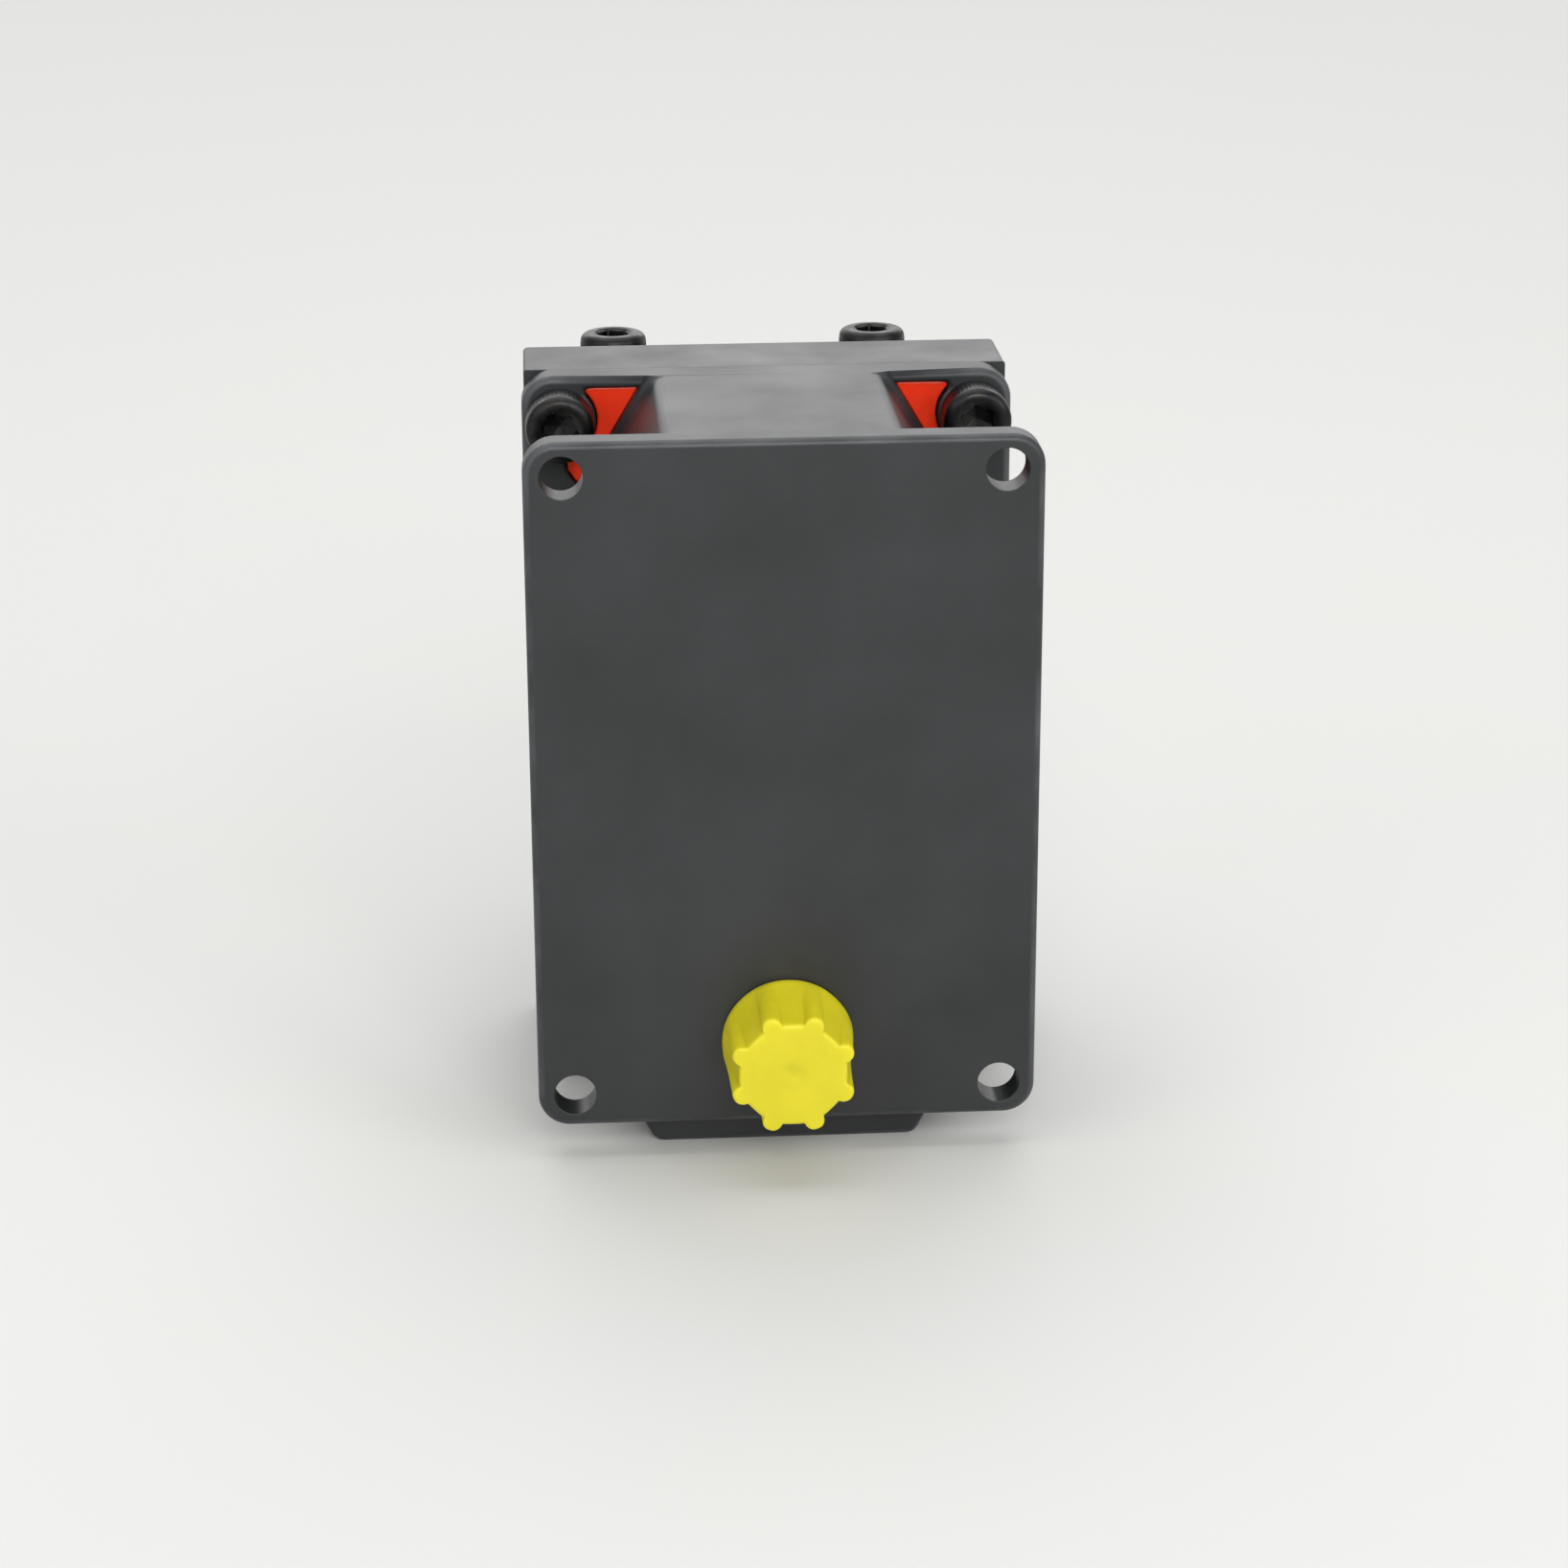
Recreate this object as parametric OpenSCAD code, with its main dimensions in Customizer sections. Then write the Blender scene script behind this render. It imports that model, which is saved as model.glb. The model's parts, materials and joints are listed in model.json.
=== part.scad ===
// Rotary isolator switch: cast housing with a front mounting plate, a neck and a rear flange,
// clamped to a rectangular contact block that carries the terminals on its back.
// Millimetres, +Z up, the plate's face looks towards -Y.
// Origin: middle of the four fixing holes, in the plate's front face.

/* [Front plate] */
// Width of the front plate
plate_w = 95; // [85:1:110]
// Height of the front plate
plate_h = 134; // [128:1:150]
// Thickness of the front plate
plate_t = 7; // [6:0.5:9]
// Corner radius of the front plate
plate_corner_r = 6; // [3:0.5:6.5]
// Distance between the fixing holes, side to side
fixing_dx = 81; // [74:1:90]
// Distance between the fixing holes, top to bottom
fixing_dz = 121; // [112:1:132]
// Diameter of the fixing holes
fixing_d = 8; // [6:0.5:9]

/* [Neck and rear flange] */
// Length of the neck between plate and flange
neck_len = 45; // [40:1:60]
// How far the neck's flat top ends inside the block's sides
shoulder_inset = 25.5; // [23:0.5:28]
// How far the neck's upright sides lie inside the block's sides
neck_inset = 11; // [10:0.5:13]
// Height of the slanted shoulder at the top of the neck
shoulder_h = 25; // [22:1:28]
// How far the foot ends inside the block's sides
foot_inset = 22; // [20:0.5:25]
// Height of the slanted flank above the foot
foot_flank_h = 19; // [17:1:22]
// How far the foot reaches below the plate
foot_drop = 7; // [4:0.5:9]
// Thickness of the rear flange
flange_t = 6.6; // [6:0.2:9]
// Thin rim that closes the flange's windows at the edge
flange_rim = 2.3; // [1.8:0.1:3]

/* [Contact block] */
// Width of the rectangular block
block_w = 94; // [92:1:96]
// Depth of the block, front to back
block_d = 20.7; // [20.7:0.1:26]
// Wall thickness around the block's hollow
block_wall = 5; // [4:0.5:5]
// Thickness of the block's rear wall
block_back = 4; // [4:0.5:5]

/* [Clamp and terminal screws] */
// Head diameter of the socket-head cap screws
cap_head_d = 13.3; // [12.8:0.1:13.4]
// Distance of the clamp screws from the block's sides
clamp_side = 6.8; // [6.6:0.1:7.4]
// Distance of the clamp screws from the flange's edge
clamp_inset = 8.8; // [8.4:0.1:9.4]
// Mean distance of the terminal screws from the block's sides
terminal_side = 20.8; // [20:0.1:22]
// Sideways shift of the pair of terminals
terminal_shift = -2.6; // [-3:0.1:0]
// Distance of the terminal screws behind the block
terminal_back = 9.2; // [9:0.1:12]

/* [Knob and spindle] */
// Diameter of the knob's skirt
knob_d = 25.6; // [24:0.2:28]
// Diameter over the ribs at the knob's face
knob_face_d = 24; // [22:0.2:26]
// Length of the knob
knob_len = 16.6; // [16:0.1:22]
// Number of ribs round the knob
knob_ribs = 8; // [8:1:8]
// Height of the spindle above the plate's lower edge
spindle_up = 16.7; // [16.5:0.1:20]
// Diameter of the spindle
spindle_d = 10; // [10:0.5:10]
// Angle between the two switch positions
throw = 90; // [60:15:90]

/* [Hidden] */
$fn = 64;
e = 0.5; // overshoot of cutting shapes
gap = 0.3; // room between pieces that are not a fit
run = 0.05; // radial room of a running fit
snug = 0.02; // radial room of a pressed piece

plate_top = plate_h / 2;
low_z = -plate_h / 2 - foot_drop;
flange_y = plate_t + neck_len;
block_y = flange_y + flange_t;
block_end = block_y + block_d;
inner_back = block_end - block_back;
flange_lip = 0.5;
flange_w = block_w + 2 * flange_lip;
flange_mid = (plate_top + low_z) / 2;
full_h = plate_top - low_z;
neck_top_w = block_w - 2 * shoulder_inset;
neck_side_w = block_w - 2 * neck_inset;
foot_w = block_w - 2 * foot_inset;
slope = (neck_side_w - neck_top_w) / 2 / shoulder_h;
foot_slope = (neck_side_w - foot_w) / 2 / foot_flank_h;

clamp_dx = block_w - 2 * clamp_side;
clamp_top = plate_top - clamp_inset;
clamp_low = low_z + clamp_inset;
land = 0.35;
land_r = cap_head_d / 2 + land;
root = 2;
window_top = plate_top - flange_rim;
window_low = low_z + flange_rim;
window_tip = 5;
window_out = clamp_dx / 2 - window_tip;
window_h = 22;
window_side = 1;
window_cut = [1.6, 2.3];
window_rise = 1;
pad_back = 3;
pad_gap = 0.25;

wall = 5;
slant_wall = wall * sqrt(1 + slope * slope);
front_wall = 9;
chamber_r = 18.5;
chamber_y = plate_t + front_wall;
hollow_y = plate_t + wall;
spindle_z = -plate_h / 2 + spindle_up;
spindle_r = spindle_d / 2;

cap_head_h = 8;
cap_r = 4;
cap_hex = 6;
cap_chamfer = 0.5;
thread_r = cap_r + gap;
clear_r = 4.5;
clamp_len = 19;
tap_depth = 14.4;
recess_wide = 1.1; // cross recess: share of the head's radius
recess_slot = 0.24;

cavity_x = block_w / 2 - block_wall;
cavity_top = plate_top - block_wall;
cavity_low = low_z + block_wall;
corner_in = 9.2;
corner_x = clamp_dx / 2 - corner_in;
corner_z = 9.5;
corner_r = 8;

carrier_t = 4;
carrier_back = block_y + carrier_t;
rib_w = 3.2;
rib_x = cavity_x - gap;
rib_free = 8; // the ribs end this far from the next boss
rib_low = 12;
barrier_t = 2;
barrier_up = 4.8;
barrier_free = 4;

square = 7;
seal_y = 2;
seal_w = 3;
seal_r = 7.6;
seal_groove = 1.2;
lip_t = 0.8;
bush_y = 6;
bush_r = 7;
bush_flange_r = 9;
bush_flange_t = 2;
rear_bush_flange_t = 1.5;
washer_t = 1;
collar_y = chamber_y + bush_flange_t + washer_t;
collar_t = 2;
collar_r = 8;
wheel_y = collar_y + collar_t;
wheel_t = 6;
wheel_r = 16.5;
wheel_hub_r = 11;
flat_w = 8;
notch_r = 3.2;
notch_deep = 0.8;
clip_y = wheel_y + wheel_t;
clip_t = 1.1;
clip_w = 2.6;
clip_groove = 0.5;
stop_r = 14;
stop_pin_r = 2;
stop_pin_hold = 8;
stop_pin_out = 2;
stop_room = 1.2; // degrees left between pin and wheel at each end of the throw
stop_half = asin(stop_pin_r / stop_r) + stop_room;

nose_r = 3;
nose_tip = spindle_z + wheel_r + run;
guide_y = wheel_y + wheel_t / 2;
guide_rise = 23.3;
guide_len = 15;
guide_seat = spindle_z + guide_rise;
guide_top = guide_seat + guide_len;
guide_boss_r = 10;
guide_step = 1;
hollow_floor = guide_seat + guide_step;
plunger_collar_r = 5;
plunger_collar_t = 2;
plug_r = 6;
plug_in = 4;
plug_head_r = 8;
plug_head_t = 2;
plug_slot_w = 1.6;
plug_slot_deep = 1.2;
spring_low = guide_seat + plunger_collar_t;
spring_high = guide_top - plug_in;
spring_r = 3.6;
spring_wire = 0.55;
spring_turns = 5;

leaf_reach = 17.5;
leaf_w = 12;
leaf_t = 1.5;
leaf_root = 0.6;
bar_t = 3;
bar_stand = 5.4;
bar_y = carrier_back + bar_stand;
air = 0.1;
leaf_a = bar_y - air - leaf_t;
leaf_b = bar_y + bar_t + air;
rotor_r = 9;
rotor_cheek = 1.7;
rotor_front = carrier_back + rotor_cheek;
rotor_end = leaf_b + leaf_t + rotor_cheek;
rotor_square = 11.4;
rotor_gap = 1.3;
rotor_screw_deep = 9;
rotor_screw_len = 7;
rotor_screw_head_r = 5.4;
rotor_screw_head_h = 1.8;
spindle_short = 1; // the square ends this far inside the rotor
bar_in = rotor_r + rotor_gap;
rear_boss_r = 10;
rear_boss_t = 1.4;
rear_boss_end = carrier_back + rear_boss_t;

terminal_dx = block_w - 2 * terminal_side;
line_x = terminal_shift - terminal_dx / 2;
load_x = terminal_shift + terminal_dx / 2;
leg_in = 4.5;
line_leg = line_x + leg_in;
load_leg = load_x;
bar_w = 12;
bar_out = 2;
tab_w = 16.4;
tab_gap = 0.8;
terminal_room = 1.5;
terminal_y = block_end + terminal_back + terminal_room;
head_proud = 0.2;
head_top = plate_top + head_proud;
spring_washer_t = 2;
spring_washer_w = 2.6;
flat_washer_t = 1.6;
flat_washer_r = 8;
tab_t = 4;
tab_top = head_top - cap_head_h - spring_washer_t - flat_washer_t;
tab_low = tab_top - tab_t;
tab_past = 8.5;
tab_end = terminal_y + tab_past;
collar_wall = 1.7;
base_side = 3;
base_w = block_w - 2 * base_side;
base_h = 19;
base_low = tab_low - base_h;
base_floor = 2;
base_past = 3;
base_end = tab_end + base_past;
nut_w = 13;
nut_h = 6.5;
terminal_len = 21.8;
partition_t = 3;
partition_up = 9;
base_screw_in = 5.7;
base_screw_down = 12.2;
base_screw_x = base_w / 2 - base_screw_in;
base_screw_z = tab_low - base_screw_down;
base_screw_len = 14;
small_head_r = 4.25;
small_head_h = 5;
small_r = 2.5;
base_seat_t = 6.7;
base_seat = block_end + base_seat_t;
boss_r = 5;
boss_back = 7.4;
boss_y = block_y + boss_back;
blind = 2; // floor left under a blind hole

bar_screw_r = 2;
bar_screw_head_r = 3.5;
bar_screw_head_h = 2.2;
bar_screw_hold = 6;
bar_screw_low = 22.3;
bar_screw_down = 21.6;
bar_screw_z = [spindle_z + bar_screw_low, tab_low - bar_screw_down];
support_h = 8;

dowel_in = 4.5;
dowel_x = block_w / 2 - dowel_in;
dowel_r = 2;
dowel_len = 10;
dowel_room = 0.4;
dowel_boss_r = 4.5;

cover_side = 17;
cover_w = block_w - 2 * cover_side;
cover_h = 48;
cover_up = 2;
cover_r = 3;
cover_land = 9;
cover_z = spindle_z + cover_up;
opening_w = cover_w - 2 * cover_land;
opening_h = cover_h - 2 * cover_land;
gasket_t = 1;
cover_t = 2;
cover_screw_in = 3.5;
cover_screw_dx = cover_w - 2 * cover_screw_in;
cover_screw_dz = cover_h - 2 * cover_screw_in;
cover_screw_r = 2;
cover_screw_head_r = 3.6;
cover_screw_head_h = 2.4;
cover_screw_len = 6.4;
earth_in = 11;
earth_x = block_w / 2 - earth_in;
earth_up = 30.3;
earth_z = spindle_z + earth_up;
earth_washer_r = 5.5;
earth_washer_t = 1;
earth_head_r = 4.6;
earth_head_h = 3.2;
earth_len = 9;

knob_back = -0.5;
skirt_l = 3.6;
skirt_draft = 0.25;
rib_r = 1.7;
rib_proud = 2.1;
core_draft = 1.1;
dimple_r = 5;
dimple_deep = 0.6;
insert_hex = 11;
insert_back = 1.5;
insert_len = 12;
insert_end = insert_back + insert_len;
spindle_front = 13;

paint = [0.28, 0.29, 0.30];
red = [0.85, 0.16, 0.05];
yellow = [0.90, 0.85, 0.22];
steel = [0.62, 0.63, 0.65];
black_steel = [0.10, 0.10, 0.11];
copper = [0.80, 0.45, 0.28];
bronze = [0.70, 0.52, 0.28];
black = [0.06, 0.06, 0.065];
rubber = [0.04, 0.04, 0.04];
fibre = [0.50, 0.47, 0.42];

// ---- shared shapes -------------------------------------------------------

// flat outline drawn as X and Z, given depth from y0 to y1
module plane(y0, y1) {
    translate([0, y1, 0])
        rotate([90, 0, 0])
            linear_extrude(y1 - y0)
                children();
}

// round bar along Y
module rod(r, y0, y1, x = 0, z = 0) {
    translate([x, y0, z])
        rotate([-90, 0, 0])
            cylinder(r = r, h = y1 - y0);
}

// box between two opposite corners
module span(a, b) {
    translate(a)
        cube(b - a);
}

module rounded(w, h, r) {
    square([w - 2 * r, h], center = true);
    square([w, h - 2 * r], center = true);
    for (x = [-1, 1], y = [-1, 1])
        translate([x * (w / 2 - r), y * (h / 2 - r)])
            circle(r);
}

module four(dx, dz) {
    for (x = [-1, 1], z = [-1, 1])
        translate([x * dx / 2, 0, z * dz / 2])
            children();
}

// the four clamp screw axes
module at_clamps() {
    translate([0, 0, (clamp_top + clamp_low) / 2])
        four(clamp_dx, clamp_top - clamp_low)
            children();
}

// cap screw along Y: the head's underside lies at y = 0 and the thread runs to +Y
module cap_screw(length) {
    difference() {
        union() {
            rod(cap_head_d / 2, -cap_head_h + cap_chamfer, 0);
            translate([0, -cap_head_h, 0])
                rotate([-90, 0, 0])
                    cylinder(r1 = cap_head_d / 2 - cap_chamfer, r2 = cap_head_d / 2, h = cap_chamfer);
            rod(cap_r, 0, length);
        }
        translate([0, -cap_head_h - e, 0])
            rotate([-90, 0, 0])
                cylinder(r = cap_hex / 2 / cos(30), h = cap_head_h / 2 + e, $fn = 6);
    }
}

// pan-head screw along Y with a cross-shaped recess; the thread runs to -Y from y = 0
module pan_screw(r, head_r, head_h, length) {
    difference() {
        union() {
            rod(head_r, 0, head_h);
            rod(r, -length, 0);
        }
        for (a = [0, 90])
            translate([0, head_h, 0])
                rotate([0, a, 0])
                    cube([head_r * recess_wide, head_h, head_r * recess_slot], center = true);
    }
}

// ---- housing -------------------------------------------------------------

function neck_outline(grow) = [
    [-neck_top_w / 2 - grow, plate_top],
    [neck_top_w / 2 + grow, plate_top],
    [neck_side_w / 2 + grow, plate_top - shoulder_h],
    [neck_side_w / 2 + grow, low_z + foot_flank_h],
    [foot_w / 2 + grow, low_z],
    [-foot_w / 2 - grow, low_z],
    [-neck_side_w / 2 - grow, low_z + foot_flank_h],
    [-neck_side_w / 2 - grow, plate_top - shoulder_h]
];

// edge of the neck's root at a height, at the shoulders and at the foot
function shoulder_edge(z) = neck_top_w / 2 + (plate_top - z) * slope + root;
function flank_edge(z) = foot_w / 2 + (z - low_z) * foot_slope + root;

// upper window on the right: between the rim, the screw land and the neck
function window_upper(c) = [
    [window_out - c, window_top - c],
    [shoulder_edge(window_top) + c, window_top - c],
    [shoulder_edge(plate_top - window_h) + 0.4 * c, plate_top - window_h + 1.6 * c],
    [clamp_dx / 2 - window_side - window_cut.x - c, plate_top - window_h + window_rise + c],
    [clamp_dx / 2 - window_side - c, plate_top - window_h + window_rise + window_cut.y + c],
    [clamp_dx / 2 - window_side - c, clamp_top - land_r / 2]
];

// lower window on the right: between the rim, the screw land and the foot
function window_lower(c) = [
    [window_out - c, window_low + c],
    [flank_edge(window_low) + c, window_low + c],
    [flank_edge(clamp_low + land_r / 3) + c, clamp_low + land_r / 3 - c],
    [clamp_dx / 2 - land_r / 2, clamp_low + land_r / 3 - c]
];

// the four windows, made smaller all round by c
module windows(c) {
    for (s = [0, 1])
        mirror([s, 0]) {
            difference() {
                polygon(window_upper(c));
                translate([clamp_dx / 2, clamp_top])
                    circle(land_r + c);
            }
            difference() {
                polygon(window_lower(c));
                translate([clamp_dx / 2, clamp_low])
                    circle(land_r + c);
            }
        }
}

// hollow of the neck above the spindle chamber, open at the back
module neck_hollow() {
    in_top = neck_top_w / 2 + wall * slope - slant_wall;
    in_side = neck_side_w / 2 - wall;
    knee = plate_top - shoulder_h - (slant_wall - wall) / slope;
    plane(hollow_y, block_y + e)
        polygon([
            [-in_top, plate_top - wall],
            [in_top, plate_top - wall],
            [in_side, knee],
            [in_side, hollow_floor],
            [-in_side, hollow_floor],
            [-in_side, knee]
        ]);
}

module housing() {
    color(paint)
        difference() {
            union() {
                plane(0, plate_t)
                    rounded(plate_w, plate_h, plate_corner_r);
                plane(plate_t, flange_y)
                    polygon(neck_outline(0));
                // sloped root of the neck on the flange
                hull() {
                    plane(flange_y - root, flange_y)
                        polygon(neck_outline(0));
                    plane(flange_y - 0.01, flange_y)
                        polygon(neck_outline(root));
                }
                plane(flange_y, block_y)
                    translate([0, flange_mid])
                        rounded(flange_w, full_h, plate_corner_r);
            }
            four(fixing_dx, fixing_dz)
                rod(fixing_d / 2, -e, plate_t + e);
            plane(flange_y - e, block_y + e)
                windows(0);
            at_clamps()
                rod(clear_r, flange_y - e, block_y + e);
            difference() {
                neck_hollow();
                translate([0, guide_y, hollow_floor - e])
                    cylinder(r = guide_boss_r, h = guide_top - hollow_floor + e);
            }
            // spindle chamber and the stepped bore in front of it
            rod(chamber_r, chamber_y, block_y + e, z = spindle_z);
            rod(bush_r, bush_y, chamber_y + e, z = spindle_z);
            rod(spindle_r + gap, -e, bush_y + e, z = spindle_z);
            rod(seal_r + gap, seal_y, seal_y + seal_w, z = spindle_z);
            rod(stop_pin_r + snug, chamber_y - stop_pin_hold, chamber_y + e, z = spindle_z - stop_r);
            // stepped guide of the detent
            translate([0, guide_y, spindle_z])
                cylinder(r = nose_r + run, h = guide_seat - spindle_z + e);
            translate([0, guide_y, guide_seat])
                cylinder(r = plunger_collar_r + run, h = guide_top - guide_seat + e);
            translate([0, guide_y, guide_top - plug_in])
                cylinder(r = plug_r + gap, h = plug_in + e);
            for (s = [-1, 1])
                rod(dowel_r + snug, block_y - dowel_len / 2, block_y + e, x = s * dowel_x, z = flange_mid);
        }
}

// ---- contact block -------------------------------------------------------

// mouth of the block's hollow, which the carrier's plate fills
module mouth_outline(c) {
    difference() {
        translate([-cavity_x + c, cavity_low + c])
            square([2 * (cavity_x - c), cavity_top - cavity_low - 2 * c]);
        for (x = [-1, 1], z = [clamp_top, clamp_low])
            translate([x * clamp_dx / 2, z])
                circle(corner_r + c);
    }
}

// outline of the hollow behind it: solid corners are kept for the clamp screws
module hollow_outline(c) {
    difference() {
        translate([-cavity_x + c, cavity_low + c])
            square([2 * (cavity_x - c), cavity_top - cavity_low - 2 * c]);
        for (s = [-1, 1], t = [-1, 1]) {
            edge = t > 0 ? clamp_top - corner_z - c : clamp_low + corner_z + c;
            translate([s * (corner_x - c + cavity_x), edge + t * cavity_x])
                square(2 * cavity_x, center = true);
        }
    }
}

module inner_bosses(c) {
    for (s = [-1, 1]) {
        rod(boss_r + c, boss_y - c, inner_back + e, x = s * base_screw_x, z = base_screw_z);
        rod(dowel_boss_r + c, block_y - e, inner_back + e, x = s * dowel_x, z = flange_mid);
    }
    rod(boss_r + c, boss_y - c, inner_back + e, x = earth_x, z = earth_z);
}

module contact_block() {
    color(paint)
        difference() {
            span([-block_w / 2, block_y, low_z], [block_w / 2, block_end, plate_top]);
            difference() {
                union() {
                    plane(block_y - e, carrier_back)
                        mouth_outline(0);
                    plane(block_y - e, inner_back)
                        hollow_outline(0);
                }
                intersection() {
                    inner_bosses(0);
                    plane(block_y, inner_back)
                        square([block_w, full_h * 2], center = true);
                }
            }
            at_clamps()
                rod(thread_r, block_y - e, block_y + tap_depth);
            for (s = [-1, 1]) {
                rod(dowel_r + snug, block_y - e, block_y + dowel_len / 2 + dowel_room,
                    x = s * dowel_x, z = flange_mid);
                rod(small_r + gap, boss_y + blind, block_end + e, x = s * base_screw_x, z = base_screw_z);
            }
            rod(small_r + gap, boss_y + blind, block_end + e, x = earth_x, z = earth_z);
            // way out for the two bars
            for (x = [line_leg, load_leg])
                bar_slot(x, gap);
            // access opening behind the moving contact
            span([-opening_w / 2, inner_back - e, spindle_z - opening_h / 2],
                 [opening_w / 2, block_end + e, spindle_z + opening_h / 2]);
            translate([0, 0, cover_z])
                four(cover_screw_dx, cover_screw_dz)
                    rod(cover_screw_r + gap, inner_back - e, block_end + e);
        }
}

module bar_slot(x, c) {
    span([x - bar_w / 2 - collar_wall - c, inner_back - e, tab_low - collar_wall - c],
         [x + bar_w / 2 + collar_wall + c, block_end + e, tab_top + collar_wall + c]);
}

// ---- insulating carrier --------------------------------------------------

// pads under the bars, clear of the turning leaves
module bar_supports() {
    for (x = [line_leg, load_leg], z = bar_screw_z)
        span([x - bar_w / 2, carrier_back - e, z - support_h / 2],
             [x + bar_w / 2, bar_y, z + support_h / 2]);
}

module contact_carrier() {
    color(red)
        difference() {
            union() {
                plane(block_y, carrier_back)
                    mouth_outline(gap);
                plane(flange_y + pad_back, block_y + 0.01)
                    windows(pad_gap);
                bar_supports();
                rod(rear_boss_r, carrier_back - e, rear_boss_end, z = spindle_z);
                // side ribs that stand against the block's rear wall
                for (s = [-1, 1]) {
                    span([min(s * rib_x, s * (rib_x - rib_w)), carrier_back - e, flange_mid + rib_low],
                         [max(s * rib_x, s * (rib_x - rib_w)), inner_back, base_screw_z - rib_free]);
                    span([min(s * rib_x, s * (rib_x - rib_w)), carrier_back - e, clamp_low + corner_z + 1],
                         [max(s * rib_x, s * (rib_x - rib_w)), inner_back, earth_z - rib_free]);
                }
            }
            inner_bosses(gap);
            rod(bush_r, block_y - e, rear_boss_end + e, z = spindle_z);
            for (x = [line_leg, load_leg], z = bar_screw_z)
                rod(bar_screw_r + gap, carrier_back - blind, bar_y + e, x = x, z = z);
        }
}

module arc_barrier() {
    color(fibre)
        span([-barrier_t / 2, carrier_back, spindle_z + leaf_reach + barrier_up],
             [barrier_t / 2, inner_back, cavity_top - barrier_free]);
}

// ---- fixed contacts and terminals ----------------------------------------

// s is the side: -1 left, 1 right; leg is the upright's middle, tab the terminal's middle
module contact_bar(s, leg, tab) {
    difference() {
        union() {
            span([leg - bar_w / 2, bar_y, spindle_z - bar_w / 2], [leg + bar_w / 2, bar_y + bar_t, tab_top]);
            span([min(s * bar_in, leg), bar_y, spindle_z - bar_w / 2],
                 [max(s * bar_in, leg), bar_y + bar_t, spindle_z + bar_w / 2]);
            span([leg - bar_w / 2, bar_y, tab_low], [leg + bar_w / 2, block_end + bar_out, tab_top]);
            span([tab - tab_w / 2, block_end + tab_gap, tab_low], [tab + tab_w / 2, tab_end, tab_top]);
        }
        translate([tab, terminal_y, tab_low - e])
            cylinder(r = clear_r, h = tab_t + 2 * e);
        for (z = bar_screw_z)
            rod(bar_screw_r + gap, bar_y - e, bar_y + bar_t + e, x = leg, z = z);
    }
}

module line_bar() {
    color(copper)
        contact_bar(-1, line_leg, line_x);
}

module load_bar() {
    color(copper)
        contact_bar(1, load_leg, load_x);
}

module bar_screws() {
    color(steel)
        for (x = [line_leg, load_leg], z = bar_screw_z)
            translate([x, bar_y + bar_t, z])
                pan_screw(bar_screw_r, bar_screw_head_r, bar_screw_head_h, bar_t + bar_screw_hold);
}

module terminal_base() {
    color(black)
        difference() {
            union() {
                span([-base_w / 2, block_end, base_low], [base_w / 2, base_end, tab_low]);
                for (x = [line_leg, load_leg])
                    bar_sleeve(x);
                // partition between the two terminals
                span([terminal_shift - partition_t / 2, block_end, tab_low - e],
                     [terminal_shift + partition_t / 2, base_end, tab_low + partition_up]);
            }
            for (x = [line_x, load_x]) {
                span([x - nut_w / 2 - gap, terminal_y - nut_w / 2 - gap, tab_low - nut_h],
                     [x + nut_w / 2 + gap, terminal_y + nut_w / 2 + gap, tab_low + e]);
                translate([x, terminal_y, base_low + base_floor])
                    cylinder(r = clear_r, h = base_h);
            }
            for (s = [-1, 1]) {
                rod(small_r + gap, block_end - e, base_end + e, x = s * base_screw_x, z = base_screw_z);
                rod(small_head_r + gap, base_seat, base_end + e, x = s * base_screw_x, z = base_screw_z);
            }
        }
}

// insulating sleeve round a bar where it leaves the block
module bar_sleeve(x) {
    difference() {
        span([x - bar_w / 2 - collar_wall, inner_back, tab_low - collar_wall],
             [x + bar_w / 2 + collar_wall, block_end + e, tab_top + collar_wall]);
        span([x - bar_w / 2, inner_back - e, tab_low], [x + bar_w / 2, block_end + 2 * e, tab_top]);
    }
}

module base_screws() {
    color(steel)
        for (s = [-1, 1])
            translate([s * base_screw_x, base_seat, base_screw_z])
                pan_screw(small_r, small_head_r, small_head_h, base_screw_len);
}

module terminal_nuts() {
    color(steel)
        for (x = [line_x, load_x])
            difference() {
                span([x - nut_w / 2, terminal_y - nut_w / 2, tab_low - nut_h],
                     [x + nut_w / 2, terminal_y + nut_w / 2, tab_low]);
                translate([x, terminal_y, tab_low - nut_h - e])
                    cylinder(r = thread_r, h = nut_h + 2 * e);
            }
}

module flat_washers() {
    color(steel)
        for (x = [line_x, load_x])
            translate([x, terminal_y, tab_top])
                difference() {
                    cylinder(r = flat_washer_r, h = flat_washer_t);
                    translate([0, 0, -e])
                        cylinder(r = thread_r, h = flat_washer_t + 2 * e);
                }
}

module spring_washers() {
    color(steel)
        for (x = [line_x, load_x])
            translate([x, terminal_y, tab_top + flat_washer_t])
                rotate_extrude(angle = 350)
                    translate([thread_r, 0])
                        square([spring_washer_w, spring_washer_t]);
}

module terminal_screws() {
    color(black_steel)
        for (x = [line_x, load_x])
            translate([x, terminal_y, head_top - cap_head_h])
                rotate([-90, 0, 0])
                    cap_screw(terminal_len);
}

module rear_cover() {
    color(steel)
        difference() {
            plane(block_end + gasket_t, block_end + gasket_t + cover_t)
                translate([0, cover_z])
                    rounded(cover_w, cover_h, cover_r);
            translate([0, 0, cover_z])
                four(cover_screw_dx, cover_screw_dz)
                    rod(cover_screw_r + gap, block_end - e, block_end + gasket_t + cover_t + e);
        }
}

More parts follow.
